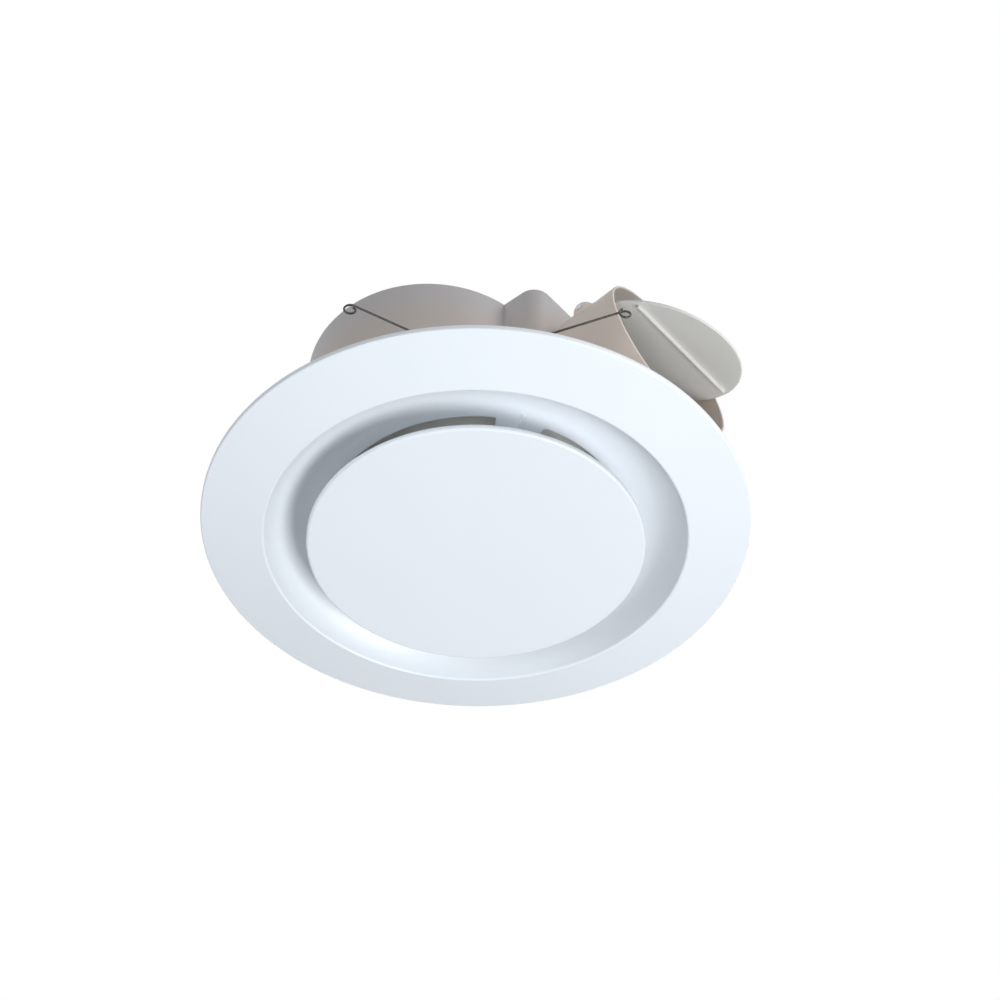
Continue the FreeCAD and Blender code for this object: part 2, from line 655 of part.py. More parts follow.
def flap():
    """Round flap with its barrel on the spindle and its stiffening rib, part open."""
    disc_x, disc_z = flap_point(SPINDLE_RISE, "-flap_thickness / 2")
    disc = cylinder("flap_disc", FLAP_RADIUS, "flap_thickness", (disc_x, "spigot_y", disc_z),
                    AXIS_Y, FLAP_TURN)
    half_barrel = (f"(sqrt({SPIGOT_BORE} ^ 2 - ({SPINDLE_RISE} + flap_barrel_radius) ^ 2)"
                   " - flap_side_gap)")
    barrel = cylinder("flap_barrel", "flap_barrel_radius", f"2 * {half_barrel}",
                      (PIVOT_X, f"spigot_y - {half_barrel}", PIVOT_Z), AXIS_X, "-90")
    half_rib = (f"(sqrt(({FLAP_RADIUS} - seat_overlap) ^ 2 - (flap_rib_offset + flap_rib_width) ^ 2)"
                " - 2 * seat_gap)")
    rib_x, rib_z = flap_point(f"{SPINDLE_RISE} + flap_rib_offset - flap_rib_width / 2",
                              "-flap_thickness / 2 - flap_rib_height")
    rib = box("flap_rib", "flap_rib_width", f"2 * {half_rib}", "flap_rib_height + flap_thickness / 2",
              (rib_x, f"spigot_y - {half_rib}", rib_z), AXIS_Y, FLAP_TURN)
    bore = cylinder("flap_bore", "spindle_radius + running_gap", "2 * spigot_radius",
                    (PIVOT_X, "spigot_y - spigot_radius", PIVOT_Z), AXIS_X, "-90")
    piece("damper_flap", cut("flap_bored", fuse("flap_solid", disc, barrel, rib), bore))


def blades(foot, head):
    """Ring of curved blades between two heights, each a solid of its own."""
    body = doc.addObject("PartDesign::Body", "one_blade")
    sketch = new_sketch(body, "blade_profile", "XY_Plane", foot)
    inside, outside = f"({EYE_RADIUS} + blade_end_inset)", f"({IMPELLER_RADIUS} - blade_end_inset)"
    middle = f"(({inside} + {outside}) / 2)"
    lift = "(blade_curve - blade_thickness)"
    outer_y = f"({lift} - sqrt(blade_curve ^ 2 - ({outside} - {middle}) ^ 2))"
    inner_y = f"({lift} - sqrt({lift} ^ 2 - ({outside} - {middle}) ^ 2))"
    draw_loop(sketch, (
        (inside, outer_y, "x"),
        (outside, outer_y, "x"),
        (outside, inner_y, "x"),
        (inside, inner_y, "x"),
    ), {0: (middle, lift, "blade_curve"), 2: (middle, lift, lift)})
    pad = body.newObject("PartDesign::Pad", "blade_pad")
    pad.Profile = sketch
    bind(pad, "Length", f"{head} - {foot}")
    doc.recompute()
    total = int(value("blade_count"))
    ring = doc.addObject("Part::Feature", "blade_ring")
    ring.Shape = Part.makeCompound([body.Shape.rotated(Vector(), AXIS_Z, 360 * number / total)
                                    for number in range(total)])
    piece("impeller_blades", place(ring, FAN_AXIS))


def impeller():
    """Forward-curved impeller: its hub cone round the motor, its blades, rim, shaft and clip."""
    plate_z = f"({IMPELLER_TOP} - impeller_plate)"
    cone_foot, cone_top = "(hub_radius + 3 * impeller_plate)", f"({EYE_RADIUS} - impeller_plate)"
    piece("impeller_hub", turned("hub_cone", (
        ("shaft_radius", HUB_Z),
        (cone_foot, HUB_Z),
        (cone_top, plate_z),
        (IMPELLER_RADIUS, plate_z),
        (IMPELLER_RADIUS, IMPELLER_TOP),
        (f"{cone_top} - impeller_plate / 2", IMPELLER_TOP),
        (f"{cone_foot} - impeller_plate / 2", f"{HUB_Z} + impeller_plate"),
        ("hub_radius", f"{HUB_Z} + impeller_plate"),
        ("hub_radius", f"{HUB_Z} + hub_height"),
        ("shaft_radius", f"{HUB_Z} + hub_height"),
    ), at=FAN_AXIS))
    piece("impeller_rim", tube("rim_ring", IMPELLER_RADIUS, EYE_RADIUS, "impeller_ring",
                               ("scroll_x", "scroll_y", IMPELLER_Z)))
    blades(f"({IMPELLER_Z} + impeller_ring)", plate_z)

    clip_z = f"({HUB_Z} - clip_thickness)"
    piece("shaft_clip", tube("clip_ring", "clip_radius", "shaft_radius", "clip_thickness",
                             ("scroll_x", "scroll_y", clip_z)))
    shaft_foot = f"({clip_z} - shaft_end_gap)"
    piece("motor_shaft", cylinder("shaft_rod", "shaft_radius", f"{SHELL_TOP} - shaft_end_gap - {shaft_foot}",
                                  ("scroll_x", "scroll_y", shaft_foot)))
    piece("motor_rotor", tube("rotor_core", f"{STATOR_BORE} - rotor_gap", "shaft_radius", "stator_height",
                              ("scroll_x", "scroll_y", STATOR_Z)))


def motor(bolt_holes, bolt_places):
    """Motor can that hangs under the lid on rubber grommets, with its stator and bearings."""
    can = turned("can_shell", (
        ("bearing_radius", MOTOR_Z),
        (MOTOR_RADIUS, MOTOR_Z),
        (MOTOR_RADIUS, f"{MOTOR_TOP} - motor_wall"),
        (MOTOR_FLANGE_RADIUS, f"{MOTOR_TOP} - motor_wall"),
        (MOTOR_FLANGE_RADIUS, MOTOR_TOP),
        (MOTOR_BORE, MOTOR_TOP),
        (MOTOR_BORE, f"{MOTOR_Z} + motor_wall"),
        ("bearing_radius", f"{MOTOR_Z} + motor_wall"),
    ), at=FAN_AXIS)
    piece("motor_can", cut("can_holed", can, *bolt_holes))

    def ring(node, outer, inner, height, base):
        piece(node, tube(f"{node}_ring", outer, inner, height, ("scroll_x", "scroll_y", base)))

    shaft_bore = "shaft_radius + running_gap"
    cap_height = "(1.5 * motor_wall)"
    ring("motor_end_cap", MOTOR_BORE, "bearing_radius", cap_height, f"{MOTOR_TOP} - {cap_height}")
    ring("bearing_lower", "bearing_radius", shaft_bore, "bearing_length", f"{MOTOR_Z} - motor_wall")
    ring("bearing_upper", "bearing_radius", shaft_bore, "bearing_length",
         f"{MOTOR_TOP} + motor_wall / 2 - bearing_length")
    ring("motor_stator", MOTOR_BORE, STATOR_BORE, "stator_height", STATOR_Z)
    coils = [tube(f"winding_{side}", f"{MOTOR_BORE} - motor_wall", f"{STATOR_BORE} + motor_wall",
                  "winding_height", ("scroll_x", "scroll_y", base))
             for side, base in (("low", f"{STATOR_Z} - winding_height"),
                                ("high", f"{STATOR_Z} + stator_height"))]
    piece("stator_windings", group("windings", coils))
    grommets = [tube(f"grommet_{number}", "grommet_radius", "screw_radius + screw_gap", "grommet_height",
                     (x, y, MOTOR_TOP)) for number, (x, y, _) in enumerate(bolt_places)]
    piece("motor_grommets", group("grommets", grommets))


def terminals():
    """Terminal box on the pan beside the outlet, with its block, lid, screws and cable gland."""
    low_y = "(outlet_near_y - terminal_gap - terminal_width)"
    middle_x, middle_y = f"({TERMINAL_X} + terminal_width / 2)", f"({low_y} + terminal_width / 2)"
    inner = "(terminal_width - 2 * terminal_wall)"
    lid_z = "(pan_height + terminal_height)"
    post = "(terminal_wall + screw_radius + screw_gap)"
    lid_places = [(f"{TERMINAL_X} + {post}", f"{low_y} + {post}", f"{lid_z} + terminal_lid"),
                  (f"{TERMINAL_X} + terminal_width - {post}", f"{low_y} + terminal_width - {post}",
                   f"{lid_z} + terminal_lid")]
    holes = screws("terminal_screws", lid_places, "screw_length")
    outer = box("terminal_case", "terminal_width", "terminal_width", "terminal_height",
                (TERMINAL_X, low_y, "pan_height"))
    hollow = box("terminal_hollow", inner, inner, "terminal_height",
                 (f"{TERMINAL_X} + terminal_wall", f"{low_y} + terminal_wall", "pan_height + terminal_wall"))
    posts = [cylinder(f"terminal_post_{number}", "screw_head_radius", "terminal_height", (x, y, "pan_height"))
             for number, (x, y, _) in enumerate(lid_places)]
    gland_z = "(pan_height + gland_rise)"

    def gland_part(name, radius, length, start):
        return cylinder(name, radius, length, (middle_x, f"{low_y} - ({start})", gland_z), AXIS_X, "90")

    wall_hole = gland_part("gland_hole", "gland_radius + running_gap", "3 * terminal_wall",
                           "-2.5 * terminal_wall")
    case = fuse("terminal_with_posts", cut("terminal_open", outer, hollow), *posts)
    piece("terminal_box", cut("terminal_holed", case, wall_hole, *holes))
    lid = box("terminal_lid_plate", "terminal_width", "terminal_width", "terminal_lid",
              (TERMINAL_X, low_y, lid_z))
    piece("terminal_cover", cut("terminal_lid_holed", lid, *holes))
    piece("terminal_block", box("block_body", "block_length", "block_width", "block_height",
                                (f"{middle_x} - block_length / 2", f"{middle_y} - block_width / 2",
                                 "pan_height + terminal_wall")))
    nut = gland_part("gland_nut", "gland_nut_radius", "gland_nut_length", "0")
    tail = gland_part("gland_tail_part", "gland_radius", "gland_nut_length + gland_tail", "0")
    neck = gland_part("gland_neck", "gland_radius", "2 * terminal_wall", "-2 * terminal_wall")
    bore = gland_part("gland_cable_bore", "gland_bore",
                      "2 * terminal_wall + gland_nut_length + gland_tail", "-2 * terminal_wall")
    piece("cable_gland", cut("gland_bored", fuse("gland_solid", nut, tail, neck), bore))


COIL_HALF = f"(coil_half_gap + wire_radius + {COIL_QUARTERS} / 4 * coil_pitch + wire_radius)"
LUG_FACE = f"({SPRING_CIRCLE} + {COIL_HALF} + lug_gap)"
PIN_RADIUS = "(coil_radius - wire_radius - pin_gap)"


def spring_pin(name, azimuth, radius):
    """Rod along a spring's coil axis, from the coil's inner end to the lug's outer face."""
    foot = f"({SPRING_CIRCLE} - {COIL_HALF})"
    thing = cylinder(name, radius, f"2 * {COIL_HALF} + lug_gap + lug_thickness",
                     (f"{foot} * cos({azimuth})", f"{foot} * sin({azimuth})", "spring_z"))
    heading = value(azimuth)
    upright = FreeCAD.Rotation(AXIS_Z, heading).multiply(FreeCAD.Rotation(AXIS_Y, 90))
    thing.Placement = FreeCAD.Placement(thing.Placement.Base, upright)
    return thing


def biarc(start, start_way, end, end_way):
    """Two arcs that join smoothly and leave and arrive along the given directions."""
    chord = end - start
    both = start_way + end_way
    bend = 2 * (1 - start_way.dot(end_way))
    reach = (-chord.dot(both) + math.sqrt(chord.dot(both) ** 2 + bend * chord.dot(chord))) / bend
    join = (start + end + (start_way - end_way) * reach) * 0.5
    return [arc_from(start, start_way, join), arc_from(end, end_way * -1, join)]


def arc_from(start, way, end):
    """Arc between two points that leaves the first one along a direction."""
    chord = end - start
    along = Vector(chord).normalize()
    side = (way - along * way.dot(along)).normalize()
    height = chord.Length / 2 * math.tan(way.getAngle(along) / 2)
    return Part.Arc(start, (start + end) * 0.5 + side * height, end)


def spring_arm(side):
    """Half of a wire clip about its coil's centre: turns, straight arm and round eye.

    The coil's axis is along X. The arm points along side times Y and up, and its turns lie
    on that side of the coil's middle.
    """
    wire, coil = value("wire_radius"), value("coil_radius")
    pitch = value("coil_pitch")
    rise = math.radians(value("right_arm_rise" if side > 0 else "left_arm_rise"))
    first = value("coil_half_gap") + wire

    def local(across, level, along):
        return Vector(side * along, side * across, level)

    def turns(radius, angles, level, flat):
        """Arcs of a rising turn about the axis, from angle to angle, with one end flat."""
        spin = math.copysign(1, angles[1] - angles[0])
        points, ways = [], []
        for number, angle in enumerate(angles):
            across, height = radius * math.cos(angle), radius * math.sin(angle)
            points.append(local(across, height, level + number * pitch / 4))
            climb = 0 if number == flat else pitch / math.tau
            ways.append(local(-spin * height, spin * across, climb).normalize())
        arcs = []
        for number in range(len(angles) - 1):
            arcs += biarc(points[number], ways[number], points[number + 1], ways[number + 1])
        return points, ways, arcs

    leave = rise - math.pi / 2
    coil_angles = [leave - (COIL_QUARTERS - quarter) * math.pi / 2 for quarter in range(COIL_QUARTERS + 1)]
    points, ways, edges = turns(coil, coil_angles, first, COIL_QUARTERS)
    bend = points[-1] + ways[-1] * value("arm_length")
    edges.append(Part.LineSegment(points[-1], bend))
    eye_angles = [rise + math.pi / 2 - quarter * math.pi / 2 for quarter in range(EYE_QUARTERS + 1)]
    eye_points, _, eye_edges = turns(value("eye_radius"), eye_angles, 0, 0)
    for edge in eye_edges:
        edge.translate(bend - eye_points[0])
    path = Part.Wire(Part.__sortEdges__([edge.toShape() for edge in edges + eye_edges]))
    print_gap(f"spring arm {side:+d}", path, 2 * wire)
    ring = Part.Wire([Part.Circle(points[0], ways[0], wire).toShape()])
    return path.makePipeShell([ring], True, False)


def print_gap(name, path, diameter):
    """Print a tube's least gap to itself, measured on points along its middle line."""
    step = diameter / 4
    spots = path.discretize(Number=int(path.Length / step) + 1)
    apart = int(2.5 * diameter / step)
    least = min(spots[i].distanceToPoint(spots[j])
                for i in range(len(spots)) for j in range(i + apart, len(spots)))
    print(f"{name}: least gap {least - diameter:.2f} mm, length {path.Length:.1f} mm")


def springs():
    """Two wire ceiling clips: each a pin and two arms that swing on it."""
    pins = []
    shapes = {"right": spring_arm(1), "left": spring_arm(-1)}
    for number, end in enumerate(("near", "far")):
        azimuth = f"(spring_azimuth + {180 * number})"
        pins.append(spring_pin(f"pin_{end}", azimuth, PIN_RADIUS))
        heading = math.radians(value(azimuth))
        circle = value(SPRING_CIRCLE)
        centre = Vector(circle * math.cos(heading), circle * math.sin(heading), value("spring_z"))
        for hand, shape in shapes.items():
            thing = doc.addObject("Part::Feature", f"arm_{end}_{hand}")
            thing.Shape = shape
            thing.Placement = FreeCAD.Placement(centre, FreeCAD.Rotation(AXIS_Z, math.degrees(heading)))
            piece(f"spring_arm_{end}_{hand}", thing)
    piece("spring_pins", group("pins", pins))


def write_pieces():
    """Check every object and sub-part, and write each sub-part to its own file."""
    doc.recompute()
    for thing in doc.Objects:
        if "Invalid" in thing.State or "Error" in thing.State:
            raise RuntimeError(f"{thing.Name} failed: {thing.State}")
    os.makedirs("parts", exist_ok=True)
    for node, thing in pieces.items():
        if thing.Shape.isNull() or not thing.Shape.isValid() or not thing.Shape.Solids:
            raise RuntimeError(f"{node} has no valid shape")
        thing.Shape.exportStep(f"parts/{node}.step")
    print(f"{len(pieces)} sub-parts written")


fascia()
pan_screw_holes, spigot_screw_holes, motor_screw_holes, motor_bolts = scroll()
pan(pan_screw_holes)
outlet(spigot_screw_holes)
impeller()
motor(motor_screw_holes, motor_bolts)
terminals()
springs()
write_pieces()
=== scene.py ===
"""Looks of a round ceiling exhaust fan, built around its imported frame.

The frame has +Z up into the ceiling space, +X along the outlet, and its origin on the fascia's
axis in the plane of the ceiling's underside. Sizes in the classes are in millimetres.
"""
import json
import logging
import math
from dataclasses import dataclass, field
from enum import Enum
from typing import Callable, Iterable, Optional, Sequence

import bmesh
import bpy
from mathutils import Matrix, Vector


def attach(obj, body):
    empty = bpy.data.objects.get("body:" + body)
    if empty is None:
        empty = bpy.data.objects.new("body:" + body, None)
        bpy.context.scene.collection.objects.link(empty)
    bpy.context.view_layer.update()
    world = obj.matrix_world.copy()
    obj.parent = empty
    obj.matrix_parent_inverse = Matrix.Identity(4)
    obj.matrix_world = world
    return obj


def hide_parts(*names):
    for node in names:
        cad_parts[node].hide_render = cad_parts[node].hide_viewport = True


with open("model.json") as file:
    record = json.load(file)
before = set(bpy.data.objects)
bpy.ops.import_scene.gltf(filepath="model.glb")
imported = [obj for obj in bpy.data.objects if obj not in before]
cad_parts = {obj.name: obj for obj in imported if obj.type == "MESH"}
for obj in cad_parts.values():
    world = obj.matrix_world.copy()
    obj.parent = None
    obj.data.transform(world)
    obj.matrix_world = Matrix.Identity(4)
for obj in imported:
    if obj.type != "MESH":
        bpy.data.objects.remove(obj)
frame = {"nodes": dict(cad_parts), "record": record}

logging.basicConfig(level=logging.INFO, format="%(message)s")
LOG = logging.getLogger("exhaust_fan")

MM = 0.001
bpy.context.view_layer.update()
HOUSING = "housing"
# Heights in metres over which the painted warm reflection low on the body fades into the cooler top colour.
CROWN_HEIGHTS = (0.092, 0.122)
BUMP_STRENGTH = 0.35
LEAST_ROUGHNESS = 0.02
POLISH_FINENESS = 3.0
PATCH_DETAIL, POLISH_DETAIL, GRAIN_DETAIL = 4.0, 2.0, 3.0
DRAWN_STRETCH = (0.15, 0.15, 1.0)
MERGE_GAP = 1e-4
ORDER_DIGITS = 4
LOOP_GAP = 0.05
FINE_GAP = 0.01
UPRIGHT_GAP = 1e-3
DRILL_SIDES, POST_SIDES, HOLE_SIDES, BAR_SIDES, BORE_SIDES, TUBE_SIDES = 24, 32, 40, 48, 96, 128
MOTOR_SCREW_AZIMUTHS = (90, 210, 330)
MOTOR_SCREW_CIRCLE = 40.0
X_AXIS = Vector((1, 0, 0))
Y_AXIS = Vector((0, 1, 0))
Z_AXIS = Vector((0, 0, 1))
Colour = tuple[float, float, float]
Point = tuple[float, float, float]
Easing = tuple[float, int]
Pick = Callable[[bmesh.types.BMEdge], bool]


class Relief(Enum):
    """Kinds of fine surface relief."""

    MOULDED = "moulded"
    DRAWN = "drawn"
    FOAM = "foam"
    STACKED = "stacked"
    WOUND = "wound"


WAVE_DISTORTION = {Relief.STACKED: 0.4, Relief.WOUND: 3.0}


class Joining(Enum):
    """Ways in which one solid acts on another."""

    ADD = "UNION"
    CUT = "DIFFERENCE"


@dataclass(frozen=True)
class Finish:
    """One surface: its colour and drift, its gloss and its relief."""

    slot: str
    colour: Colour
    drift: Colour
    drift_scale: float
    roughness: float
    spread: float
    metallic: float = 0.0
    relief: Relief = Relief.MOULDED
    relief_scale: float = 1400.0
    relief_depth: float = 0.02
    specular: float = 0.5
    # Name of a lighter or warmer copy of one material, whose colour is painted light; plain for none.
    shade: str = "plain"
    # Colour at the fan's top; lower down the colour is warmer, painted warm reflected light.
    crown: Optional[Colour] = None

    def material(self) -> bpy.types.Material:
        """Make the node material, or find it if it is made already.

        Returns:
            The material for this finish.
        """
        name = f"{self.slot}_{self.shade}"
        known = bpy.data.materials.get(name)
        if known:
            return known
        made = bpy.data.materials.new(name)
        made.use_nodes = True
        tree = made.node_tree
        nodes, links = tree.nodes, tree.links
        shader = nodes["Principled BSDF"]
        shader.inputs["Metallic"].default_value = self.metallic
        shader.inputs["Specular IOR Level"].default_value = self.specular
        place = nodes.new("ShaderNodeTexCoord").outputs["Object"]

        tint = nodes.new("ShaderNodeMix")
        tint.data_type = "RGBA"
        tint.inputs["A"].default_value = (*self.colour, 1.0)
        tint.inputs["B"].default_value = (*self.drift, 1.0)
        links.new(self._noise(tree, place, self.drift_scale, PATCH_DETAIL), tint.inputs["Factor"])
        links.new(self._crowned(tree, place, tint.outputs["Result"]), shader.inputs["Base Color"])

        polish = self._noise(tree, place, self.drift_scale * POLISH_FINENESS, POLISH_DETAIL)
        gloss = nodes.new("ShaderNodeMapRange")
        gloss.inputs["To Min"].default_value = max(self.roughness - self.spread, LEAST_ROUGHNESS)
        gloss.inputs["To Max"].default_value = self.roughness + self.spread
        links.new(polish, gloss.inputs["Value"])
        links.new(gloss.outputs["Result"], shader.inputs["Roughness"])

        bump = nodes.new("ShaderNodeBump")
        bump.inputs["Strength"].default_value = BUMP_STRENGTH
        bump.inputs["Distance"].default_value = self.relief_depth * MM
        links.new(self._relief(tree, place), bump.inputs["Height"])
        links.new(bump.outputs["Normal"], shader.inputs["Normal"])
        return made

    @staticmethod
    def _noise(tree: bpy.types.NodeTree, place: bpy.types.NodeSocket, scale: float,
               detail: float) -> bpy.types.NodeSocket:
        """Add a noise texture.

        Args:
            tree: The material's nodes.
            place: The socket with the coordinates.
            scale: How fine the noise is.
            detail: How many finer layers it has.

        Returns:
            The socket that carries the noise.
        """
        noise = tree.nodes.new("ShaderNodeTexNoise")
        noise.inputs["Scale"].default_value = scale
        noise.inputs["Detail"].default_value = detail
        tree.links.new(place, noise.inputs["Vector"])
        return noise.outputs["Fac"]

    def _crowned(self, tree: bpy.types.NodeTree, place: bpy.types.NodeSocket,
                 tint: bpy.types.NodeSocket) -> bpy.types.NodeSocket:
        """Blend the tint, whose warm tan is painted warm reflected light, into the cooler top colour towards
        the fan's top.

        Args:
            tree: The material's nodes.
            place: The socket with the coordinates.
            tint: The socket with the plain colour.

        Returns:
            The socket that carries the colour.
        """
        if self.crown is None:
            return tint
        height = tree.nodes.new("ShaderNodeSeparateXYZ")
        tree.links.new(place, height.inputs["Vector"])
        ramp = tree.nodes.new("ShaderNodeMapRange")
        ramp.interpolation_type = "SMOOTHSTEP"
        ramp.inputs["From Min"].default_value, ramp.inputs["From Max"].default_value = CROWN_HEIGHTS
        tree.links.new(height.outputs["Z"], ramp.inputs["Value"])
        blend = tree.nodes.new("ShaderNodeMix")
        blend.data_type = "RGBA"
        blend.inputs["B"].default_value = (*self.crown, 1.0)
        tree.links.new(ramp.outputs["Result"], blend.inputs["Factor"])
        tree.links.new(tint, blend.inputs["A"])
        return blend.outputs["Result"]

    def _relief(self, tree: bpy.types.NodeTree, place: bpy.types.NodeSocket) -> bpy.types.NodeSocket:
        """Add the texture that gives the relief its heights.

        Args:
            tree: The material's nodes.
            place: The socket with the coordinates.

        Returns:
            The socket that carries the height.
        """
        if self.relief in WAVE_DISTORTION:
            wave = tree.nodes.new("ShaderNodeTexWave")
            wave.bands_direction = "Z"
            wave.inputs["Scale"].default_value = self.relief_scale
            wave.inputs["Distortion"].default_value = WAVE_DISTORTION[self.relief]
            tree.links.new(place, wave.inputs["Vector"])
            return wave.outputs["Fac"]
        if self.relief is Relief.FOAM:
            cells = tree.nodes.new("ShaderNodeTexVoronoi")
            cells.inputs["Scale"].default_value = self.relief_scale
            tree.links.new(place, cells.inputs["Vector"])
            return cells.outputs["Distance"]
        if self.relief is Relief.DRAWN:
            stretch = tree.nodes.new("ShaderNodeMapping")
            stretch.inputs["Scale"].default_value = DRAWN_STRETCH
            tree.links.new(place, stretch.inputs["Vector"])
            place = stretch.outputs["Vector"]
        return self._noise(tree, place, self.relief_scale, GRAIN_DETAIL)


FASCIA_WHITE = Finish("white_plastic", (0.84, 0.873, 0.908), (0.86, 0.888, 0.917), 14.0, 0.38, 0.05,
                      relief_depth=0.012)
# The body's warm tan is painted warm reflected light; it fades into the cooler top colour towards the top.
BODY_GREY = Finish("grey_plastic", (0.555, 0.485, 0.44), (0.595, 0.525, 0.48), 22.0, 0.46, 0.07,
                   crown=(0.538, 0.508, 0.507))
# A paler, lit copy of the body's grey plastic for the pan: its lighter colour is painted light on the pan
# seen through the slots.
PAN_GREY = Finish("grey_plastic", (0.787, 0.751, 0.68), (0.83, 0.792, 0.718), 22.0, 0.5, 0.07, shade="pale")
# A lighter, warmer lit copy of the body's grey plastic for the spigot and damper seat: its colour is painted
# light and painted warm reflection.
SPIGOT_GREY = Finish("grey_plastic", (0.81, 0.70, 0.62), (0.85, 0.735, 0.65), 22.0, 0.46, 0.07,
                     shade="warm", crown=(0.766, 0.711, 0.67))
FLAP_GREY = Finish("flap_plastic", (0.695, 0.685, 0.646), (0.727, 0.717, 0.675), 26.0, 0.44, 0.06)
TERMINAL_CREAM = Finish("cream_plastic", (0.62, 0.57, 0.44), (0.66, 0.61, 0.49), 60.0, 0.42, 0.05)
DARK_PLASTIC = Finish("dark_plastic", (0.030, 0.032, 0.035), (0.045, 0.047, 0.05), 40.0, 0.45, 0.08)
FOAM = Finish("foam", (0.035, 0.035, 0.036), (0.055, 0.055, 0.056), 120.0, 0.92, 0.05,
              relief=Relief.FOAM, relief_scale=1100.0, relief_depth=0.3, specular=0.2)
BLACK_RUBBER = Finish("black_rubber", (0.012, 0.012, 0.012), (0.022, 0.022, 0.022), 90.0, 0.72, 0.08)
BRIGHT_STEEL = Finish("bright_steel", (0.55, 0.56, 0.57), (0.46, 0.47, 0.48), 150.0, 0.28, 0.08,
                      metallic=1.0, relief=Relief.DRAWN, relief_scale=2600.0)
ZINC_SCREW = Finish("zinc_screw", (0.58, 0.59, 0.60), (0.48, 0.48, 0.47), 300.0, 0.34, 0.10,
                    metallic=1.0, relief_scale=3000.0)
SPRING_WIRE = Finish("spring_wire", (0.055, 0.055, 0.058), (0.095, 0.093, 0.09), 240.0, 0.38, 0.10,
                     metallic=0.8, relief=Relief.DRAWN, relief_scale=3000.0)
MOTOR_METAL = Finish("motor_metal", (0.30, 0.32, 0.34), (0.38, 0.40, 0.41), 70.0, 0.42, 0.10,
                     metallic=0.7)
LAMINATIONS = Finish("laminated_steel", (0.10, 0.10, 0.105), (0.16, 0.155, 0.15), 160.0, 0.5, 0.1,
                     metallic=0.8, relief=Relief.STACKED, relief_scale=320.0, relief_depth=0.2)
COPPER = Finish("copper", (0.42, 0.14, 0.05), (0.52, 0.20, 0.08), 130.0, 0.34, 0.06,
                metallic=0.8, relief=Relief.WOUND, relief_scale=260.0, relief_depth=0.4)
FLOOR_PALE = Finish("floor", (0.86, 0.86, 0.86), (0.90, 0.90, 0.90), 2.0, 0.8, 0.05)
FINISHES = (FASCIA_WHITE, BODY_GREY, FLAP_GREY, TERMINAL_CREAM, DARK_PLASTIC, FOAM, BLACK_RUBBER,
            BRIGHT_STEEL, ZINC_SCREW, SPRING_WIRE, MOTOR_METAL, LAMINATIONS, COPPER)
# Nodes that take a lit copy of grey plastic, whose colour is painted light.
NODE_FINISHES = {"mount_pan": PAN_GREY, "inlet_bell": PAN_GREY, "damper_seat": SPIGOT_GREY}


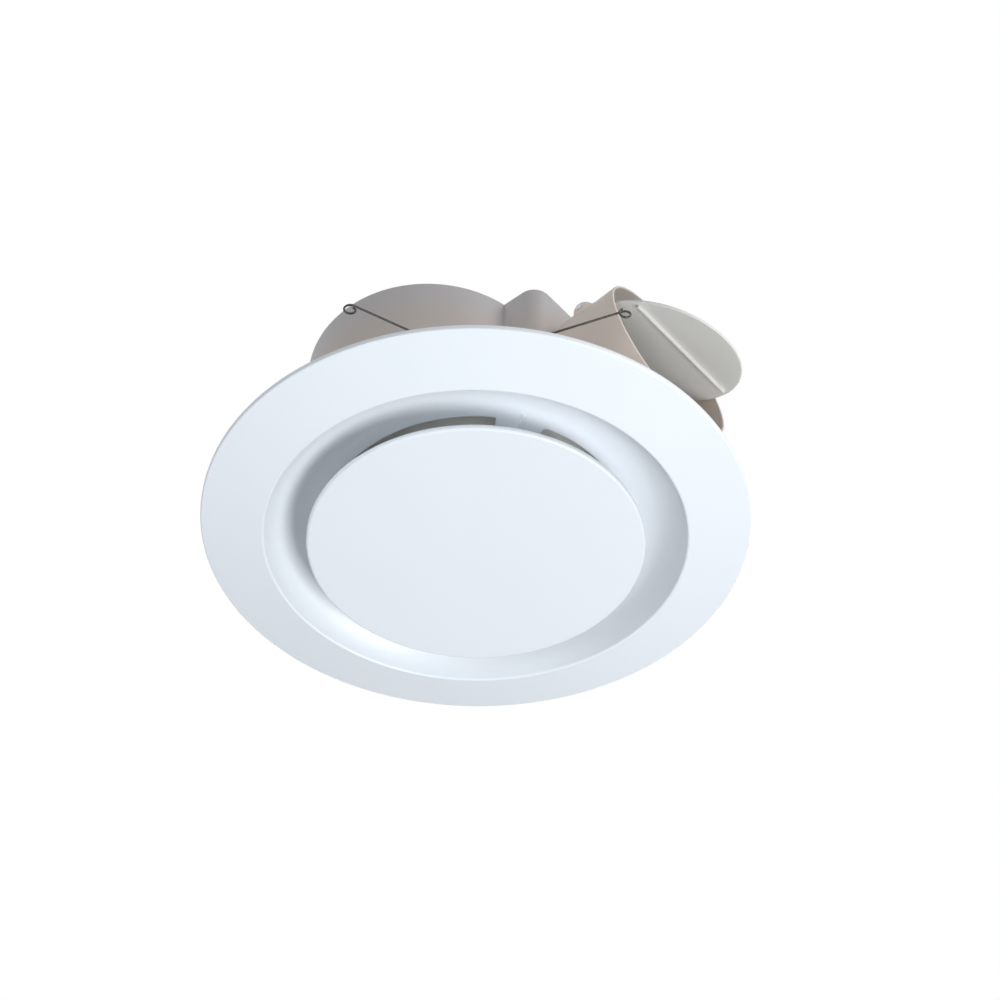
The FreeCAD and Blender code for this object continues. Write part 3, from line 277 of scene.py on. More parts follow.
@dataclass
class Workpiece:
    """A mesh in the making, in millimetres until it is finished."""

    name: str
    bm: bmesh.types.BMesh = field(default_factory=bmesh.new)
    first: Optional[bmesh.types.BMVert] = None
    tip: Optional[bmesh.types.BMVert] = None

    def start(self, x: float, y: float, z: float) -> "Workpiece":
        """Begin a chain of edges at a point."""
        self.tip = self.first = self.bm.verts.new((x, y, z))
        return self

    def line_to(self, x: float, y: float, z: float) -> "Workpiece":
        """Carry the chain on to a point."""
        self.tip = bmesh.ops.extrude_vert_indiv(self.bm, verts=[self.tip])["verts"][0]
        self.tip.co = (x, y, z)
        return self

    def arc(self, centre: Point, axis: Vector, degrees: float, steps: int) -> "Workpiece":
        """Carry the chain on round an arc.

        Args:
            centre: A point on the arc's axis.
            axis: The direction of that axis.
            degrees: How far to turn, by the right-hand rule.
            steps: How many edges to use.

        Returns:
            This piece.
        """
        spun = bmesh.ops.spin(self.bm, geom=[self.tip], cent=centre, axis=axis, dvec=(0, 0, 0),
                              angle=math.radians(degrees), steps=steps, use_merge=False)
        self.tip = next(item for item in spun["geom_last"] if isinstance(item, bmesh.types.BMVert))
        return self

    def close(self) -> "Workpiece":
        """Join the chain's end to its start."""
        self.bm.edges.new((self.tip, self.first))
        return self

    def lathe(self, steps: int) -> "Workpiece":
        """Turn the chain through a full circle about Z."""
        bmesh.ops.spin(self.bm, geom=self.bm.verts[:] + self.bm.edges[:], cent=(0, 0, 0),
                       axis=Z_AXIS, dvec=(0, 0, 0), angle=math.tau, steps=steps, use_merge=True)
        return self.tidy()

    def tidy(self) -> "Workpiece":
        """Merge doubled points and turn the faces outwards."""
        bmesh.ops.remove_doubles(self.bm, verts=self.bm.verts, dist=MERGE_GAP)
        bmesh.ops.recalc_face_normals(self.bm, faces=self.bm.faces)
        return self

    def rise(self, height: float) -> "Workpiece":
        """Fill the closed chain and draw it up to a height."""
        filled = bmesh.ops.contextual_create(self.bm, geom=self.bm.edges[:])["faces"]
        return self.draw_up(filled, height)

    def draw_up(self, faces: Sequence[bmesh.types.BMFace], height: float) -> "Workpiece":
        """Extrude faces upwards into a closed solid."""
        grown = bmesh.ops.extrude_face_region(self.bm, geom=list(faces), use_keep_orig=True)["geom"]
        top = [item for item in grown if isinstance(item, bmesh.types.BMVert)]
        bmesh.ops.translate(self.bm, vec=(0, 0, height), verts=top)
        return self.tidy()

    def block(self, low: Point, high: Point, radius: float = 0.0, segments: int = 3) -> "Workpiece":
        """Add a box between two corners, with its edges rounded.

        Args:
            low: The lowest corner.
            high: The highest corner.
            radius: The rounding of its edges, or 0 for none.
            segments: How many faces make each rounding.

        Returns:
            This piece.
        """
        size = [b - a for a, b in zip(low, high)]
        middle = [(a + b) / 2 for a, b in zip(low, high)]
        shape = Matrix.Translation(middle) @ Matrix.Diagonal((*size, 1))
        verts = bmesh.ops.create_cube(self.bm, size=1.0, matrix=shape)["verts"]
        if radius > 0:
            self._bevel(dict.fromkeys(edge for vert in verts for edge in vert.link_edges), radius, segments)
        return self

    def rod(self, foot: Point, head: Point, radius: float, segments: int = BAR_SIDES,
            rounding: float = 0.0) -> "Workpiece":
        """Add a round bar between two points, with its ends eased.

        Args:
            foot: The middle of one end.
            head: The middle of the other end.
            radius: The bar's radius.
            segments: How many sides it has.
            rounding: The easing of its end edges, or 0 for none.

        Returns:
            This piece.
        """
        way = Vector(head) - Vector(foot)
        turn = Z_AXIS.rotation_difference(way.normalized()).to_matrix().to_4x4()
        shape = Matrix.Translation((Vector(foot) + Vector(head)) / 2) @ turn
        verts = bmesh.ops.create_cone(self.bm, cap_ends=True, segments=segments, radius1=radius,
                                      radius2=radius, depth=way.length, matrix=shape)["verts"]
        if rounding > 0:
            caps = dict.fromkeys(face for vert in verts for face in vert.link_faces if len(face.verts) > 4)
            self._bevel(dict.fromkeys(edge for face in caps for edge in face.edges), rounding, 3)
        return self

    def ease(self, radius: float, segments: int, pick: Pick) -> "Workpiece":
        """Round the edges that a test picks."""
        return self._bevel([edge for edge in self.bm.edges if pick(edge)], radius, segments)

    def _bevel(self, edges: Iterable[bmesh.types.BMEdge], radius: float, segments: int) -> "Workpiece":
        """Round some edges, as far as their faces allow."""
        bmesh.ops.bevel(self.bm, geom=list(edges), offset=radius, segments=segments, profile=0.5,
                        affect="EDGES", material=-1, clamp_overlap=True)
        return self

    def move(self, matrix: Matrix) -> "Workpiece":
        """Set the whole piece in another place."""
        bmesh.ops.transform(self.bm, matrix=matrix, verts=self.bm.verts)
        return self

    def take(self, other: "Workpiece") -> "Workpiece":
        """Take in another piece's mesh as it is."""
        mesh = bpy.data.meshes.new("taken")
        other.bm.to_mesh(mesh)
        other.bm.free()
        self.bm.from_mesh(mesh)
        bpy.data.meshes.remove(mesh)
        return self

    def join(self, other: "Workpiece", mode: Joining) -> "Workpiece":
        """Add another solid to this one, or cut it away.

        Args:
            other: The other solid, which is used up.
            mode: Whether it is added or cut.

        Returns:
            This piece.
        """
        base, tool = self._stand(), other._stand()
        modifier = base.modifiers.new("join", "BOOLEAN")
        modifier.operation = mode.value
        modifier.object = tool
        modifier.solver = "EXACT"
        graph = bpy.context.evaluated_depsgraph_get()
        result = bpy.data.meshes.new_from_object(base.evaluated_get(graph))
        self.bm = bmesh.new()
        self.bm.from_mesh(result)
        for item in (base, tool):
            mesh = item.data
            bpy.data.objects.remove(item)
            bpy.data.meshes.remove(mesh)
        bpy.data.meshes.remove(result)
        return self.tidy()

    def _settle(self) -> None:
        """Put points, edges and faces in order of place, so that every run gives the same mesh."""
        for items, place in ((self.bm.verts, lambda vert: [round(value, ORDER_DIGITS) for value in vert.co]),
                             (self.bm.edges, lambda edge: sorted(vert.index for vert in edge.verts)),
                             (self.bm.faces, lambda face: sorted(vert.index for vert in face.verts))):
            for index, item in enumerate(sorted(items, key=place)):
                item.index = index
            items.sort()

    def _stand(self) -> bpy.types.Object:
        """Put the mesh into the scene for a while and free it here."""
        mesh = bpy.data.meshes.new("standing")
        self._settle()
        self.bm.to_mesh(mesh)
        self.bm.free()
        item = bpy.data.objects.new("standing", mesh)
        bpy.context.scene.collection.objects.link(item)
        return item

    def finish(self, finish: Finish, body: str, replaces: Sequence[str] = (),
               sharp: float = 32.0) -> bpy.types.Object:
        """Turn the mesh into a finished object on a body of the frame.

        Args:
            finish: The surface it gets.
            body: The body it moves with.
            replaces: The frame's nodes that it stands for.
            sharp: Edges that bend by more degrees than this stay crisp.

        Returns:
            The object.
        """
        self._settle()
        bmesh.ops.scale(self.bm, vec=(MM, MM, MM), verts=self.bm.verts)
        mesh = bpy.data.meshes.new(self.name)
        self.bm.to_mesh(mesh)
        self.bm.free()
        mesh.shade_smooth()
        mesh.set_sharp_from_angle(angle=math.radians(sharp))
        made = bpy.data.objects.new(self.name, mesh)
        bpy.context.scene.collection.objects.link(made)
        made.data.materials.append(finish.material())
        weighted = made.modifiers.new("even_shading", "WEIGHTED_NORMAL")
        weighted.keep_sharp = True
        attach(made, body)
        if replaces:
            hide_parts(*replaces)
        LOG.info("%s: %d faces", made.name, len(mesh.polygons))
        return made


def turned_about(azimuth: float, at: Point) -> Matrix:
    """Matrix that turns a piece about Z and moves it.

    Args:
        azimuth: The turn in degrees.
        at: Where its origin goes.

    Returns:
        The matrix.
    """
    return Matrix.Translation(at) @ Matrix.Rotation(math.radians(azimuth), 4, "Z")


@dataclass
class Fascia:
    """White ceiling ring with its dished trough and slots, and the floating disc."""

    radius: float = 147.5
    rim_lip: float = 3.2
    rim_width: float = 3.0
    rim_easing: Easing = (0.9, 4)
    back_easing: Easing = (0.4, 2)
    wall: float = 2.4
    edge_radius: float = 113.5
    edge_easing: Easing = (1.8, 7)
    drop: float = 9.6
    trough_radius: float = 88.0
    trough_curve: float = 27.5
    trough_steps: int = 28
    back_sweep: float = 89.0
    ridge: tuple[float, float] = (124.0, 126.4)
    ridge_feet: tuple[float, float] = (-4.66, -4.21)
    ridge_top: float = -2.6
    plate_z: float = 7.6
    bore_radius: float = 45.0
    slot_radii: tuple[float, float] = (61.0, 81.0)
    slot_angle: float = 72.0
    slot_corner: Easing = (8.0, 6)
    slot_reach: tuple[float, float] = (3.0, 6.0)
    slot_steps: int = 40
    slot_count: int = 4
    web_azimuth: float = -33.0
    web_rib_ends: tuple[float, float] = (14.0, 5.0)
    web_rib_levels: tuple[float, float] = (-1.2, 0.6)
    web_rib_half: float = 0.8
    web_rib_easing: Easing = (0.35, 2)
    disc_radius: float = 90.7
    disc_face: float = -12.0
    disc_thickness: float = 3.2
    disc_easing: Easing = (1.6, 5)
    disc_back_easing: Easing = (0.6, 2)
    pillar_radius: float = 4.0
    pillar_sink: float = 0.5
    steps: int = 200

    def build(self) -> list[bpy.types.Object]:
        """Build the ring and the disc."""
        return [self._ring().finish(FASCIA_WHITE, HOUSING, ["fascia_ring"]),
                self._disc().finish(FASCIA_WHITE, HOUSING, ["fascia_disc"])]

    def _ring(self) -> Workpiece:
        """Turn the ring's profile and cut its slots."""
        centre_z = self.plate_z - self.trough_curve
        dip = math.degrees(math.atan2(-self.drop - centre_z, self.edge_radius - self.trough_radius))
        centre = (self.trough_radius, 0, centre_z)
        ring = Workpiece("fascia_ring_shell")
        ring.start(self.radius, 0, 0)
        ring.line_to(self.radius, 0, -self.rim_lip)
        ring.line_to(self.edge_radius, 0, -self.drop)
        ring.arc(centre, Y_AXIS, dip - 90, self.trough_steps)
        ring.line_to(self.bore_radius, 0, self.plate_z)
        ring.line_to(self.bore_radius, 0, self.plate_z + self.wall)
        ring.line_to(self.trough_radius, 0, self.plate_z + self.wall)
        ring.arc(centre, Y_AXIS, self.back_sweep - dip, self.trough_steps)
        (inside, outside), (inner_foot, outer_foot) = self.ridge, self.ridge_feet
        ring.line_to(inside, 0, inner_foot).line_to(inside, 0, self.ridge_top)
        ring.line_to(outside, 0, self.ridge_top).line_to(outside, 0, outer_foot)
        ring.line_to(self.radius - self.rim_width, 0, -self.rim_lip + self.wall)
        ring.line_to(self.radius - self.rim_width, 0, 0)
        ring.close().lathe(self.steps)
        ring.ease(*self.rim_easing, lambda edge: self.on_loop(edge, self.radius, -self.rim_lip))
        ring.ease(*self.edge_easing, lambda edge: self.on_loop(edge, self.edge_radius, -self.drop))
        ring.ease(*self.back_easing, lambda edge: self.on_loop(edge, self.radius, 0))
        slots = Workpiece("slots")
        for number in range(self.slot_count):
            slots.take(self._slot(number * 360 / self.slot_count))
        ring.join(slots, Joining.CUT)
        for number in range(self.slot_count):
            ring.take(self._web_rib(number * 360 / self.slot_count))
        return ring

    @staticmethod
    def on_loop(edge: bmesh.types.BMEdge, radius: float, level: float) -> bool:
        """Say whether an edge lies on the circle of a radius and a level."""
        return all(abs(math.hypot(vert.co.x, vert.co.y) - radius) < LOOP_GAP
                   and abs(vert.co.z - level) < LOOP_GAP for vert in edge.verts)

    def _slot(self, azimuth: float) -> Workpiece:
        """Make the cutter for one arc slot with rounded corners.

        Args:
            azimuth: How far the slot is turned from the first one.

        Returns:
            The cutter.
        """
        inner, outer = self.slot_radii
        pitch = 360 / self.slot_count
        tool = Workpiece("slot")
        foot, head = self.plate_z - self.slot_reach[0], self.plate_z + self.slot_reach[1]
        tool.start(inner, 0, foot).line_to(outer, 0, foot)
        tool.line_to(outer, 0, head).line_to(inner, 0, head).close()
        face = bmesh.ops.contextual_create(tool.bm, geom=tool.bm.edges[:])["faces"]
        bmesh.ops.spin(tool.bm, geom=face, cent=(0, 0, 0), axis=Z_AXIS, dvec=(0, 0, 0),
                       angle=math.radians(self.slot_angle), steps=self.slot_steps, use_merge=False)
        tool.tidy()
        ends = (0.0, math.radians(self.slot_angle))
        tool.ease(*self.slot_corner, lambda edge: self._upright_at(edge, ends))
        start = self.web_azimuth + (pitch - self.slot_angle) / 2 + azimuth
        return tool.move(turned_about(start, (0, 0, 0)))

    @staticmethod
    def _upright_at(edge: bmesh.types.BMEdge, azimuths: Sequence[float]) -> bool:
        """Say whether an edge stands upright at one of some azimuths."""
        low, high = edge.verts
        upright = math.hypot(low.co.x - high.co.x, low.co.y - high.co.y) < UPRIGHT_GAP
        return upright and any(abs(math.atan2(low.co.y, low.co.x) - a) < UPRIGHT_GAP for a in azimuths)

    def _web_rib(self, azimuth: float) -> Workpiece:
        """Make the thin stiffening rib under one web."""
        inner, outer = self.slot_radii
        (start, past), (low, high), half = self.web_rib_ends, self.web_rib_levels, self.web_rib_half
        rib = Workpiece("web_rib").block((inner + start, -half, self.plate_z + low),
                                         (outer + past, half, self.plate_z + high), *self.web_rib_easing)
        return rib.move(turned_about(self.web_azimuth + azimuth, (0, 0, 0)))

    def _disc(self) -> Workpiece:
        """Turn the disc with its eased edge and set its pillars on it."""
        back = self.disc_face + self.disc_thickness
        disc = Workpiece("fascia_disc_plate")
        disc.start(0, 0, self.disc_face).line_to(self.disc_radius, 0, self.disc_face)
        disc.line_to(self.disc_radius, 0, back).line_to(0, 0, back).lathe(self.steps)
        disc.ease(*self.disc_easing, lambda edge: self.on_loop(edge, self.disc_radius, self.disc_face))
        disc.ease(*self.disc_back_easing, lambda edge: self.on_loop(edge, self.disc_radius, back))
        middle = sum(self.slot_radii) / 2
        for number in range(self.slot_count):
            azimuth = math.radians(self.web_azimuth + number * 360 / self.slot_count)
            x, y = middle * math.cos(azimuth), middle * math.sin(azimuth)
            disc.join(Workpiece("pillar").rod((x, y, back - self.pillar_sink), (x, y, self.plate_z),
                                              self.pillar_radius, POST_SIDES), Joining.ADD)
        return disc


@dataclass
class Scroll:
    """Scroll wall with its bosses, and the lid with its ears and ribs."""

    axis_x: float = -19.5
    axis_y: float = -20.4
    radius: float = 69.3
    growth: float = 9.7
    wall: float = 2.5
    base: float = 20.5
    height: float = 103.0
    end_x: float = 72.0
    near_y: float = -34.0
    near_corner: float = 10.0
    far_corner: float = 12.0
    lid: float = 2.5
    lid_easing: Easing = (0.7, 3)
    sharp_bend: float = 1.0
    boss_radius: float = 4.0
    boss_azimuths: tuple[float, float] = (100.0, 150.0)
    boss_stand: float = 1.5
    boss_overlap: float = 1.0
    far_boss_back: float = 48.0
    corner_steps: int = 12
    quarter_steps: int = 48
    tongue_steps: int = 44
    outline_gap: float = 0.01
    rib_feet: tuple[float, float] = (48.5, 50.3)
    rib_crests: tuple[float, float] = (48.8, 50.0)
    rib_height: float = 1.2
    rib_sink: float = 0.5
    rib_steps: int = 120
    spoke_start: float = 22.0
    short_spoke: float = 35.0
    long_spoke: float = 49.0
    spoke_half: float = 0.8
    spoke_easing: Easing = (0.4, 2)
    spoke_azimuths: tuple[int, ...] = (30, 90, 150, 210, 270, 330)

    @property
    def bosses(self) -> list[tuple[float, float]]:
        """Where the bosses stand."""
        reach = self.radius + 2 * self.growth + self.boss_stand
        x, y = self.axis_x + self.growth, self.axis_y + self.growth
        inner = self.wall + self.boss_radius - self.boss_overlap
        rounds = [(x + reach * math.cos(math.radians(a)), y + reach * math.sin(math.radians(a)))
                  for a in self.boss_azimuths]
        return [*rounds, (self.end_x - self.far_boss_back, self.far_y + self.boss_stand),
                (self.end_x - self.near_corner - self.boss_radius, self.near_y + inner)]

    @property
    def far_y(self) -> float:
        """Y of the far wall."""
        return self.axis_y + self.radius + 3 * self.growth

    @property
    def top(self) -> float:
        """Z of the wall's upper edge."""
        return self.base + self.height

    def solid(self, name: str, level: float, height: float, inset: float = 0.0) -> Workpiece:
        """Draw the scroll's outline at a level and raise it into a solid.

        Args:
            name: The piece's name.
            level: The outline's Z.
            height: How high it is raised.
            inset: How far the outline is drawn in.

        Returns:
            The solid.
        """
        near_y, far_y, end_x = self.near_y + inset, self.far_y - inset, self.end_x - inset
        tongue = math.asin((near_y - self.axis_y) / (self.radius - inset))
        near_x, near_mid = self.end_x - self.near_corner, self.near_y + self.near_corner
        far_x, far_mid = self.end_x - self.far_corner, self.far_y - self.far_corner
        line = Workpiece(name)
        line.start(self.axis_x + (self.radius - inset) * math.cos(tongue), near_y, level)
        line.line_to(near_x, near_y, level).arc((near_x, near_mid, level), Z_AXIS, 90, self.corner_steps)
        line.line_to(end_x, far_mid, level).arc((far_x, far_mid, level), Z_AXIS, 90, self.corner_steps)
        mid_x, mid_y = self.axis_x + self.growth, self.axis_y + self.growth
        line.line_to(mid_x, far_y, level).arc((mid_x, mid_y, level), Z_AXIS, 90, self.quarter_steps)
        line.arc((self.axis_x, mid_y, level), Z_AXIS, 90, self.quarter_steps)
        line.arc((self.axis_x, self.axis_y, level), Z_AXIS, 90 + math.degrees(tongue), self.tongue_steps)
        bmesh.ops.remove_doubles(line.bm, verts=line.bm.verts, dist=self.outline_gap)
        return line.rise(height)

    def build(self) -> list[bpy.types.Object]:
        """Build the wall and the lid."""
        return [self._walls().finish(BODY_GREY, HOUSING, ["scroll_shell"]),
                self._lid().finish(BODY_GREY, HOUSING, ["scroll_cover"])]

    def _walls(self) -> Workpiece:
        """Draw up the wall, add its bosses and cut the mouth."""
        wall = self.solid("scroll_walls", self.base, self.height)
        wall.join(self.solid("hollow", self.base - 5, self.height + 10, self.wall), Joining.CUT)
        for x, y in self.bosses:
            boss = Workpiece("boss").rod((x, y, self.base), (x, y, self.top), self.boss_radius, POST_SIDES)
            wall.join(boss, Joining.ADD)
        return wall.join(Outlet().mouth(), Joining.CUT)

    def _lid(self) -> Workpiece:
        """Make the lid with its ears and the raised ribs round the motor."""
        lid = self.solid("scroll_lid", self.top, self.lid)
        top = self.top + self.lid
        for x, y in self.bosses[:3]:
            ear = Workpiece("ear").rod((x, y, self.top), (x, y, top), self.boss_radius, POST_SIDES)
            lid.join(ear, Joining.ADD)
        lid.ease(*self.lid_easing, lambda edge: all(abs(vert.co.z - top) < UPRIGHT_GAP for vert in edge.verts)
                 and edge.calc_face_angle(0.0) > self.sharp_bend)
        foot, crest = top - self.rib_sink, top + self.rib_height
        ribs = Workpiece("lid_rib").start(self.rib_feet[0], 0, foot).line_to(self.rib_feet[1], 0, foot)
        ribs.line_to(self.rib_crests[1], 0, crest).line_to(self.rib_crests[0], 0, crest)
        ribs.close().lathe(self.rib_steps)
        lid.take(ribs.move(Matrix.Translation((self.axis_x, self.axis_y, 0))))
        for azimuth in self.spoke_azimuths:
            end = self.short_spoke if azimuth in MOTOR_SCREW_AZIMUTHS else self.long_spoke
            spoke = Workpiece("spoke").block((self.spoke_start, -self.spoke_half, foot),
                                             (end, self.spoke_half, crest), *self.spoke_easing)
            lid.take(spoke.move(turned_about(azimuth, (self.axis_x, self.axis_y, 0))))
        return lid


@dataclass
class Outlet:
    """Tilted spigot with its flange and bosses, and the flap on its spindle."""

    radius: float = 51.0
    wall: float = 2.7
    land: float = 14.0
    land_step: float = 1.2
    land_blend: float = 7.0
    mouth_at: Point = (117.9, 24.4, 79.0)
    tilt: float = 8.5
    end_x: float = 72.0
    flange_low: Point = (72.0, -24.0, 25.5)
    flange_high: Point = (75.0, 76.0, 118.5)
    flange_easing: float = 0.8
    corner_width: float = 26.0
    corner_height: float = 38.0
    corner_depth: float = 9.0
    corner_reach: float = 3.0
    screw_ys: tuple[float, float] = (-18.6, 70.8)
    screw_levels: tuple[float, float] = (36.7, 107.3)
    tube_back: float = 110.0
    tube_lip: Easing = (0.8, 5)
    behind_low: Point = (-128.0, -150.0, -100.0)
    behind_high: Point = (72.0, 200.0, 300.0)
    hole_back: float = 130.0
    hole_ahead: float = 3.0
    hole_lip: Easing = (0.7, 4)
    mouth_reach: tuple[float, float] = (12.0, 8.0)
    drill_half: float = 60.0
    dome_steps: int = 12
    spindle_back: float = 21.8
    spindle_rise: float = 23.2
    boss_radius: float = 6.6
    boss_reach: float = 48.42
    spindle_radius: float = 2.05
    flap_radius: float = 45.5
    flap_thickness: float = 1.6
    flap_easing: Easing = (0.5, 3)
    flap_opening: float = 55.0
    barrel_radius: float = 3.4
    barrel_easing: float = 0.4
    barrel_half: float = 39.0
    rib_offset: float = 14.8
    rib_height: float = 1.8
    rib_width: float = 1.4
    rib_half: float = 40.3
    rib_easing: Easing = (0.3, 2)

    @property
    def frame(self) -> Matrix:
        """Matrix whose Z is the spigot's axis and whose origin is its mouth's middle."""
        turn = Matrix.Rotation(math.radians(90 - self.tilt), 4, "Y")
        return Matrix.Translation(self.mouth_at) @ turn

    @property
    def pivot(self) -> Vector:
        """The middle of the flap's spindle."""
        return self.frame @ Vector((-self.spindle_rise, 0, -self.spindle_back))

    def mouth(self) -> Workpiece:
        """Cutter for the hole in the scroll's end wall."""
        back = (self.mouth_at[0] - self.end_x) / math.cos(math.radians(self.tilt))
        bore = self.radius - self.wall
        inward, outward = self.mouth_reach
        tool = Workpiece("mouth").rod((0, 0, -back - inward), (0, 0, -back + outward), bore, BORE_SIDES)
        return tool.move(self.frame)

    def build(self) -> list[bpy.types.Object]:
        """Build the spigot and the flap."""
        return [self._spigot().finish(SPIGOT_GREY, HOUSING, ["duct_spigot"]),
                self._flap().finish(FLAP_GREY, "damper", ["damper_flap"])]

    def _spigot(self) -> Workpiece:
        """Make the tube with its rounded lip, its flange and its spindle bosses."""
        bore, free = self.radius - self.wall, self.radius - self.land_step
        lip, lip_steps = self.tube_lip
        tube = Workpiece("spigot_tube")
        tube.start(0, 0, -self.tube_back).line_to(self.radius, 0, -self.tube_back)
        tube.line_to(self.radius, 0, -self.land - self.land_blend).line_to(free, 0, -self.land)
        tube.line_to(free, 0, -lip).arc((free - lip, 0, -lip), Y_AXIS, -90, lip_steps)
        tube.line_to(0, 0, 0).lathe(TUBE_SIDES).move(self.frame)
        tube.join(Workpiece("behind").block(self.behind_low, self.behind_high), Joining.CUT)
        tube.join(self._flange(), Joining.ADD)
        x, y, z = self.pivot
        tube.join(self._bosses().move(Matrix.Translation((x, y, z))), Joining.ADD)
        lip, lip_steps = self.hole_lip
        hole = Workpiece("hole").start(0, 0, -self.hole_back).line_to(bore, 0, -self.hole_back)
        hole.line_to(bore, 0, -lip).arc((bore + lip, 0, -lip), Y_AXIS, 90, lip_steps)
        hole.line_to(bore + lip, 0, self.hole_ahead).line_to(0, 0, self.hole_ahead)
        tube.join(hole.lathe(TUBE_SIDES).move(self.frame), Joining.CUT)
        drill = Workpiece("drill").rod((x, y - self.drill_half, z), (x, y + self.drill_half, z),
                                       self.spindle_radius, DRILL_SIDES)
        return tube.join(drill, Joining.CUT)

    def _flange(self) -> Workpiece:
        """Make the screw flange, with its near upper corner cut off."""
        plate = Workpiece("plate").block(self.flange_low, self.flange_high, self.flange_easing)
        size = (self.corner_depth, 2 * self.corner_height, 2 * self.corner_width)
        slant = math.atan2(self.corner_height, self.corner_width)
        x, y, _ = self.flange_low
        foot = (x - self.corner_reach, y, self.flange_high[2] - self.corner_height)
        corner = Workpiece("corner").block((0, 0, 0), size)
        corner.move(Matrix.Translation(foot) @ Matrix.Rotation(slant, 4, "X"))
        return plate.join(corner, Joining.CUT)

    def _bosses(self) -> Workpiece:
        """Make the bar that gives both spindle bosses, with domed ends, along Y."""
        foot = self.boss_reach - self.boss_radius
        bar = Workpiece("bosses").start(0, 0, -self.boss_reach)
        bar.arc((0, 0, -foot), Y_AXIS, -90, self.dome_steps).line_to(self.boss_radius, 0, foot)
        bar.arc((0, 0, foot), Y_AXIS, -90, self.dome_steps)
        return bar.lathe(BAR_SIDES).move(Matrix.Rotation(math.radians(-90), 4, "X"))

    def _flap(self) -> Workpiece:
        """Make the flap with its barrel and rib, and set it part open."""
        half = self.flap_thickness / 2
        flap = Workpiece("damper_disc")
        flap.start(0, 0, -half).line_to(self.flap_radius, 0, -half)
        flap.line_to(self.flap_radius, 0, half).line_to(0, 0, half).lathe(TUBE_SIDES)
        flap.ease(*self.flap_easing, lambda edge: all(
            math.hypot(vert.co.x, vert.co.y) > self.flap_radius - FINE_GAP
            and abs(vert.co.z) > half - FINE_GAP for vert in edge.verts)
                  and abs(edge.verts[0].co.z - edge.verts[1].co.z) < FINE_GAP)
        flap.move(Matrix.Translation((self.spindle_rise, 0, 0)))
        barrel = Workpiece("barrel").rod((0, -self.barrel_half, 0), (0, self.barrel_half, 0),
                                         self.barrel_radius, POST_SIDES, self.barrel_easing)
        flap.join(barrel, Joining.ADD)
        along = self.spindle_rise + self.rib_offset
        rib = Workpiece("rib").block((along - self.rib_width / 2, -self.rib_half, -half - self.rib_height),
                                     (along + self.rib_width / 2, self.rib_half, 0), *self.rib_easing)
        flap.join(rib, Joining.ADD)
        bore = Workpiece("bore").rod((0, -self.drill_half, 0), (0, self.drill_half, 0),
                                     self.spindle_radius, DRILL_SIDES)
        flap.join(bore, Joining.CUT)
        lean = 90 - self.flap_opening - self.tilt
        return flap.move(Matrix.Translation(self.pivot) @ Matrix.Rotation(math.radians(lean), 4, "Y"))


@dataclass
class Pan:
    """Round pan with its ceiling flange, its inlet and the two lugs for the clips."""

    flange_radius: float = 133.0
    flange_low: float = -2.6
    flange_top: float = -1.0
    base_radius: float = 117.5
    top_radius: float = 101.5
    height: float = 20.5
    wall: float = 2.5
    inlet_radius: float = 53.5
    lug_face: float = 118.19
    lug_thickness: float = 3.0
    lug_width: float = 16.0
    lug_top: float = 26.0
    lug_sink: float = 0.8
    lug_easing: Easing = (4.0, 6)
    lug_gap: float = 0.1
    pin_level: float = 19.0
    pin_hole: float = 3.55
    pin_reach: float = 9.0
    inlet_reach: float = 5.0
    shoulder_easing: Easing = (2.2, 5)
    flange_easing: Easing = (0.4, 2)
    steps: int = 160

    def build(self) -> list[bpy.types.Object]:
        """Build the pan.

        Returns:
            The finished objects.
        """
        slope = (self.base_radius - self.top_radius) / (self.height - self.flange_top)
        slant = self.wall * math.hypot(1, slope)
        inner = self.height - self.wall
        pan = Workpiece("pan_shell").start(self.flange_radius, 0, self.flange_low)
        pan.line_to(self.flange_radius, 0, self.flange_top).line_to(self.base_radius, 0, self.flange_top)
        pan.line_to(self.top_radius, 0, self.height).line_to(0, 0, self.height).line_to(0, 0, inner)
        pan.line_to(self.top_radius - slant, 0, inner).line_to(self.base_radius - slant, 0, self.flange_low)
        pan.close().lathe(self.steps)
        pan.ease(*self.shoulder_easing, lambda edge: Fascia.on_loop(edge, self.top_radius, self.height))
        pan.ease(*self.flange_easing, lambda edge: Fascia.on_loop(edge, self.flange_radius, self.flange_top))
        x, y = Scroll.axis_x, Scroll.axis_y
        foot, head = inner - self.inlet_reach, self.height + self.inlet_reach
        inlet = Workpiece("inlet").rod((x, y, foot), (x, y, head), self.inlet_radius, BORE_SIDES)
        pan.join(inlet, Joining.CUT)
        for azimuth in WireClips().azimuths.values():
            pan.join(self._lug().move(turned_about(azimuth, (0, 0, 0))), Joining.ADD)
        return [pan.finish(PAN_GREY, HOUSING, ["mount_pan"])]

    def _lug(self) -> Workpiece:
        """Make one lug with rounded shoulders and its pin hole."""
        half = self.lug_width / 2
        lug = Workpiece("lug").block((self.lug_face, -half, self.flange_top - self.lug_sink),
                                     (self.lug_face + self.lug_thickness, half, self.lug_top))
        lug.ease(*self.lug_easing, lambda edge: all(
            vert.co.z > self.lug_top - self.lug_gap for vert in edge.verts)
                 and abs(edge.verts[0].co.y - edge.verts[1].co.y) < self.lug_gap)
        hole = Workpiece("pin_hole").rod((self.lug_face - self.pin_reach, 0, self.pin_level),
                                         (self.lug_face + self.pin_reach, 0, self.pin_level),
                                         self.pin_hole, HOLE_SIDES)
        return lug.join(hole, Joining.CUT)


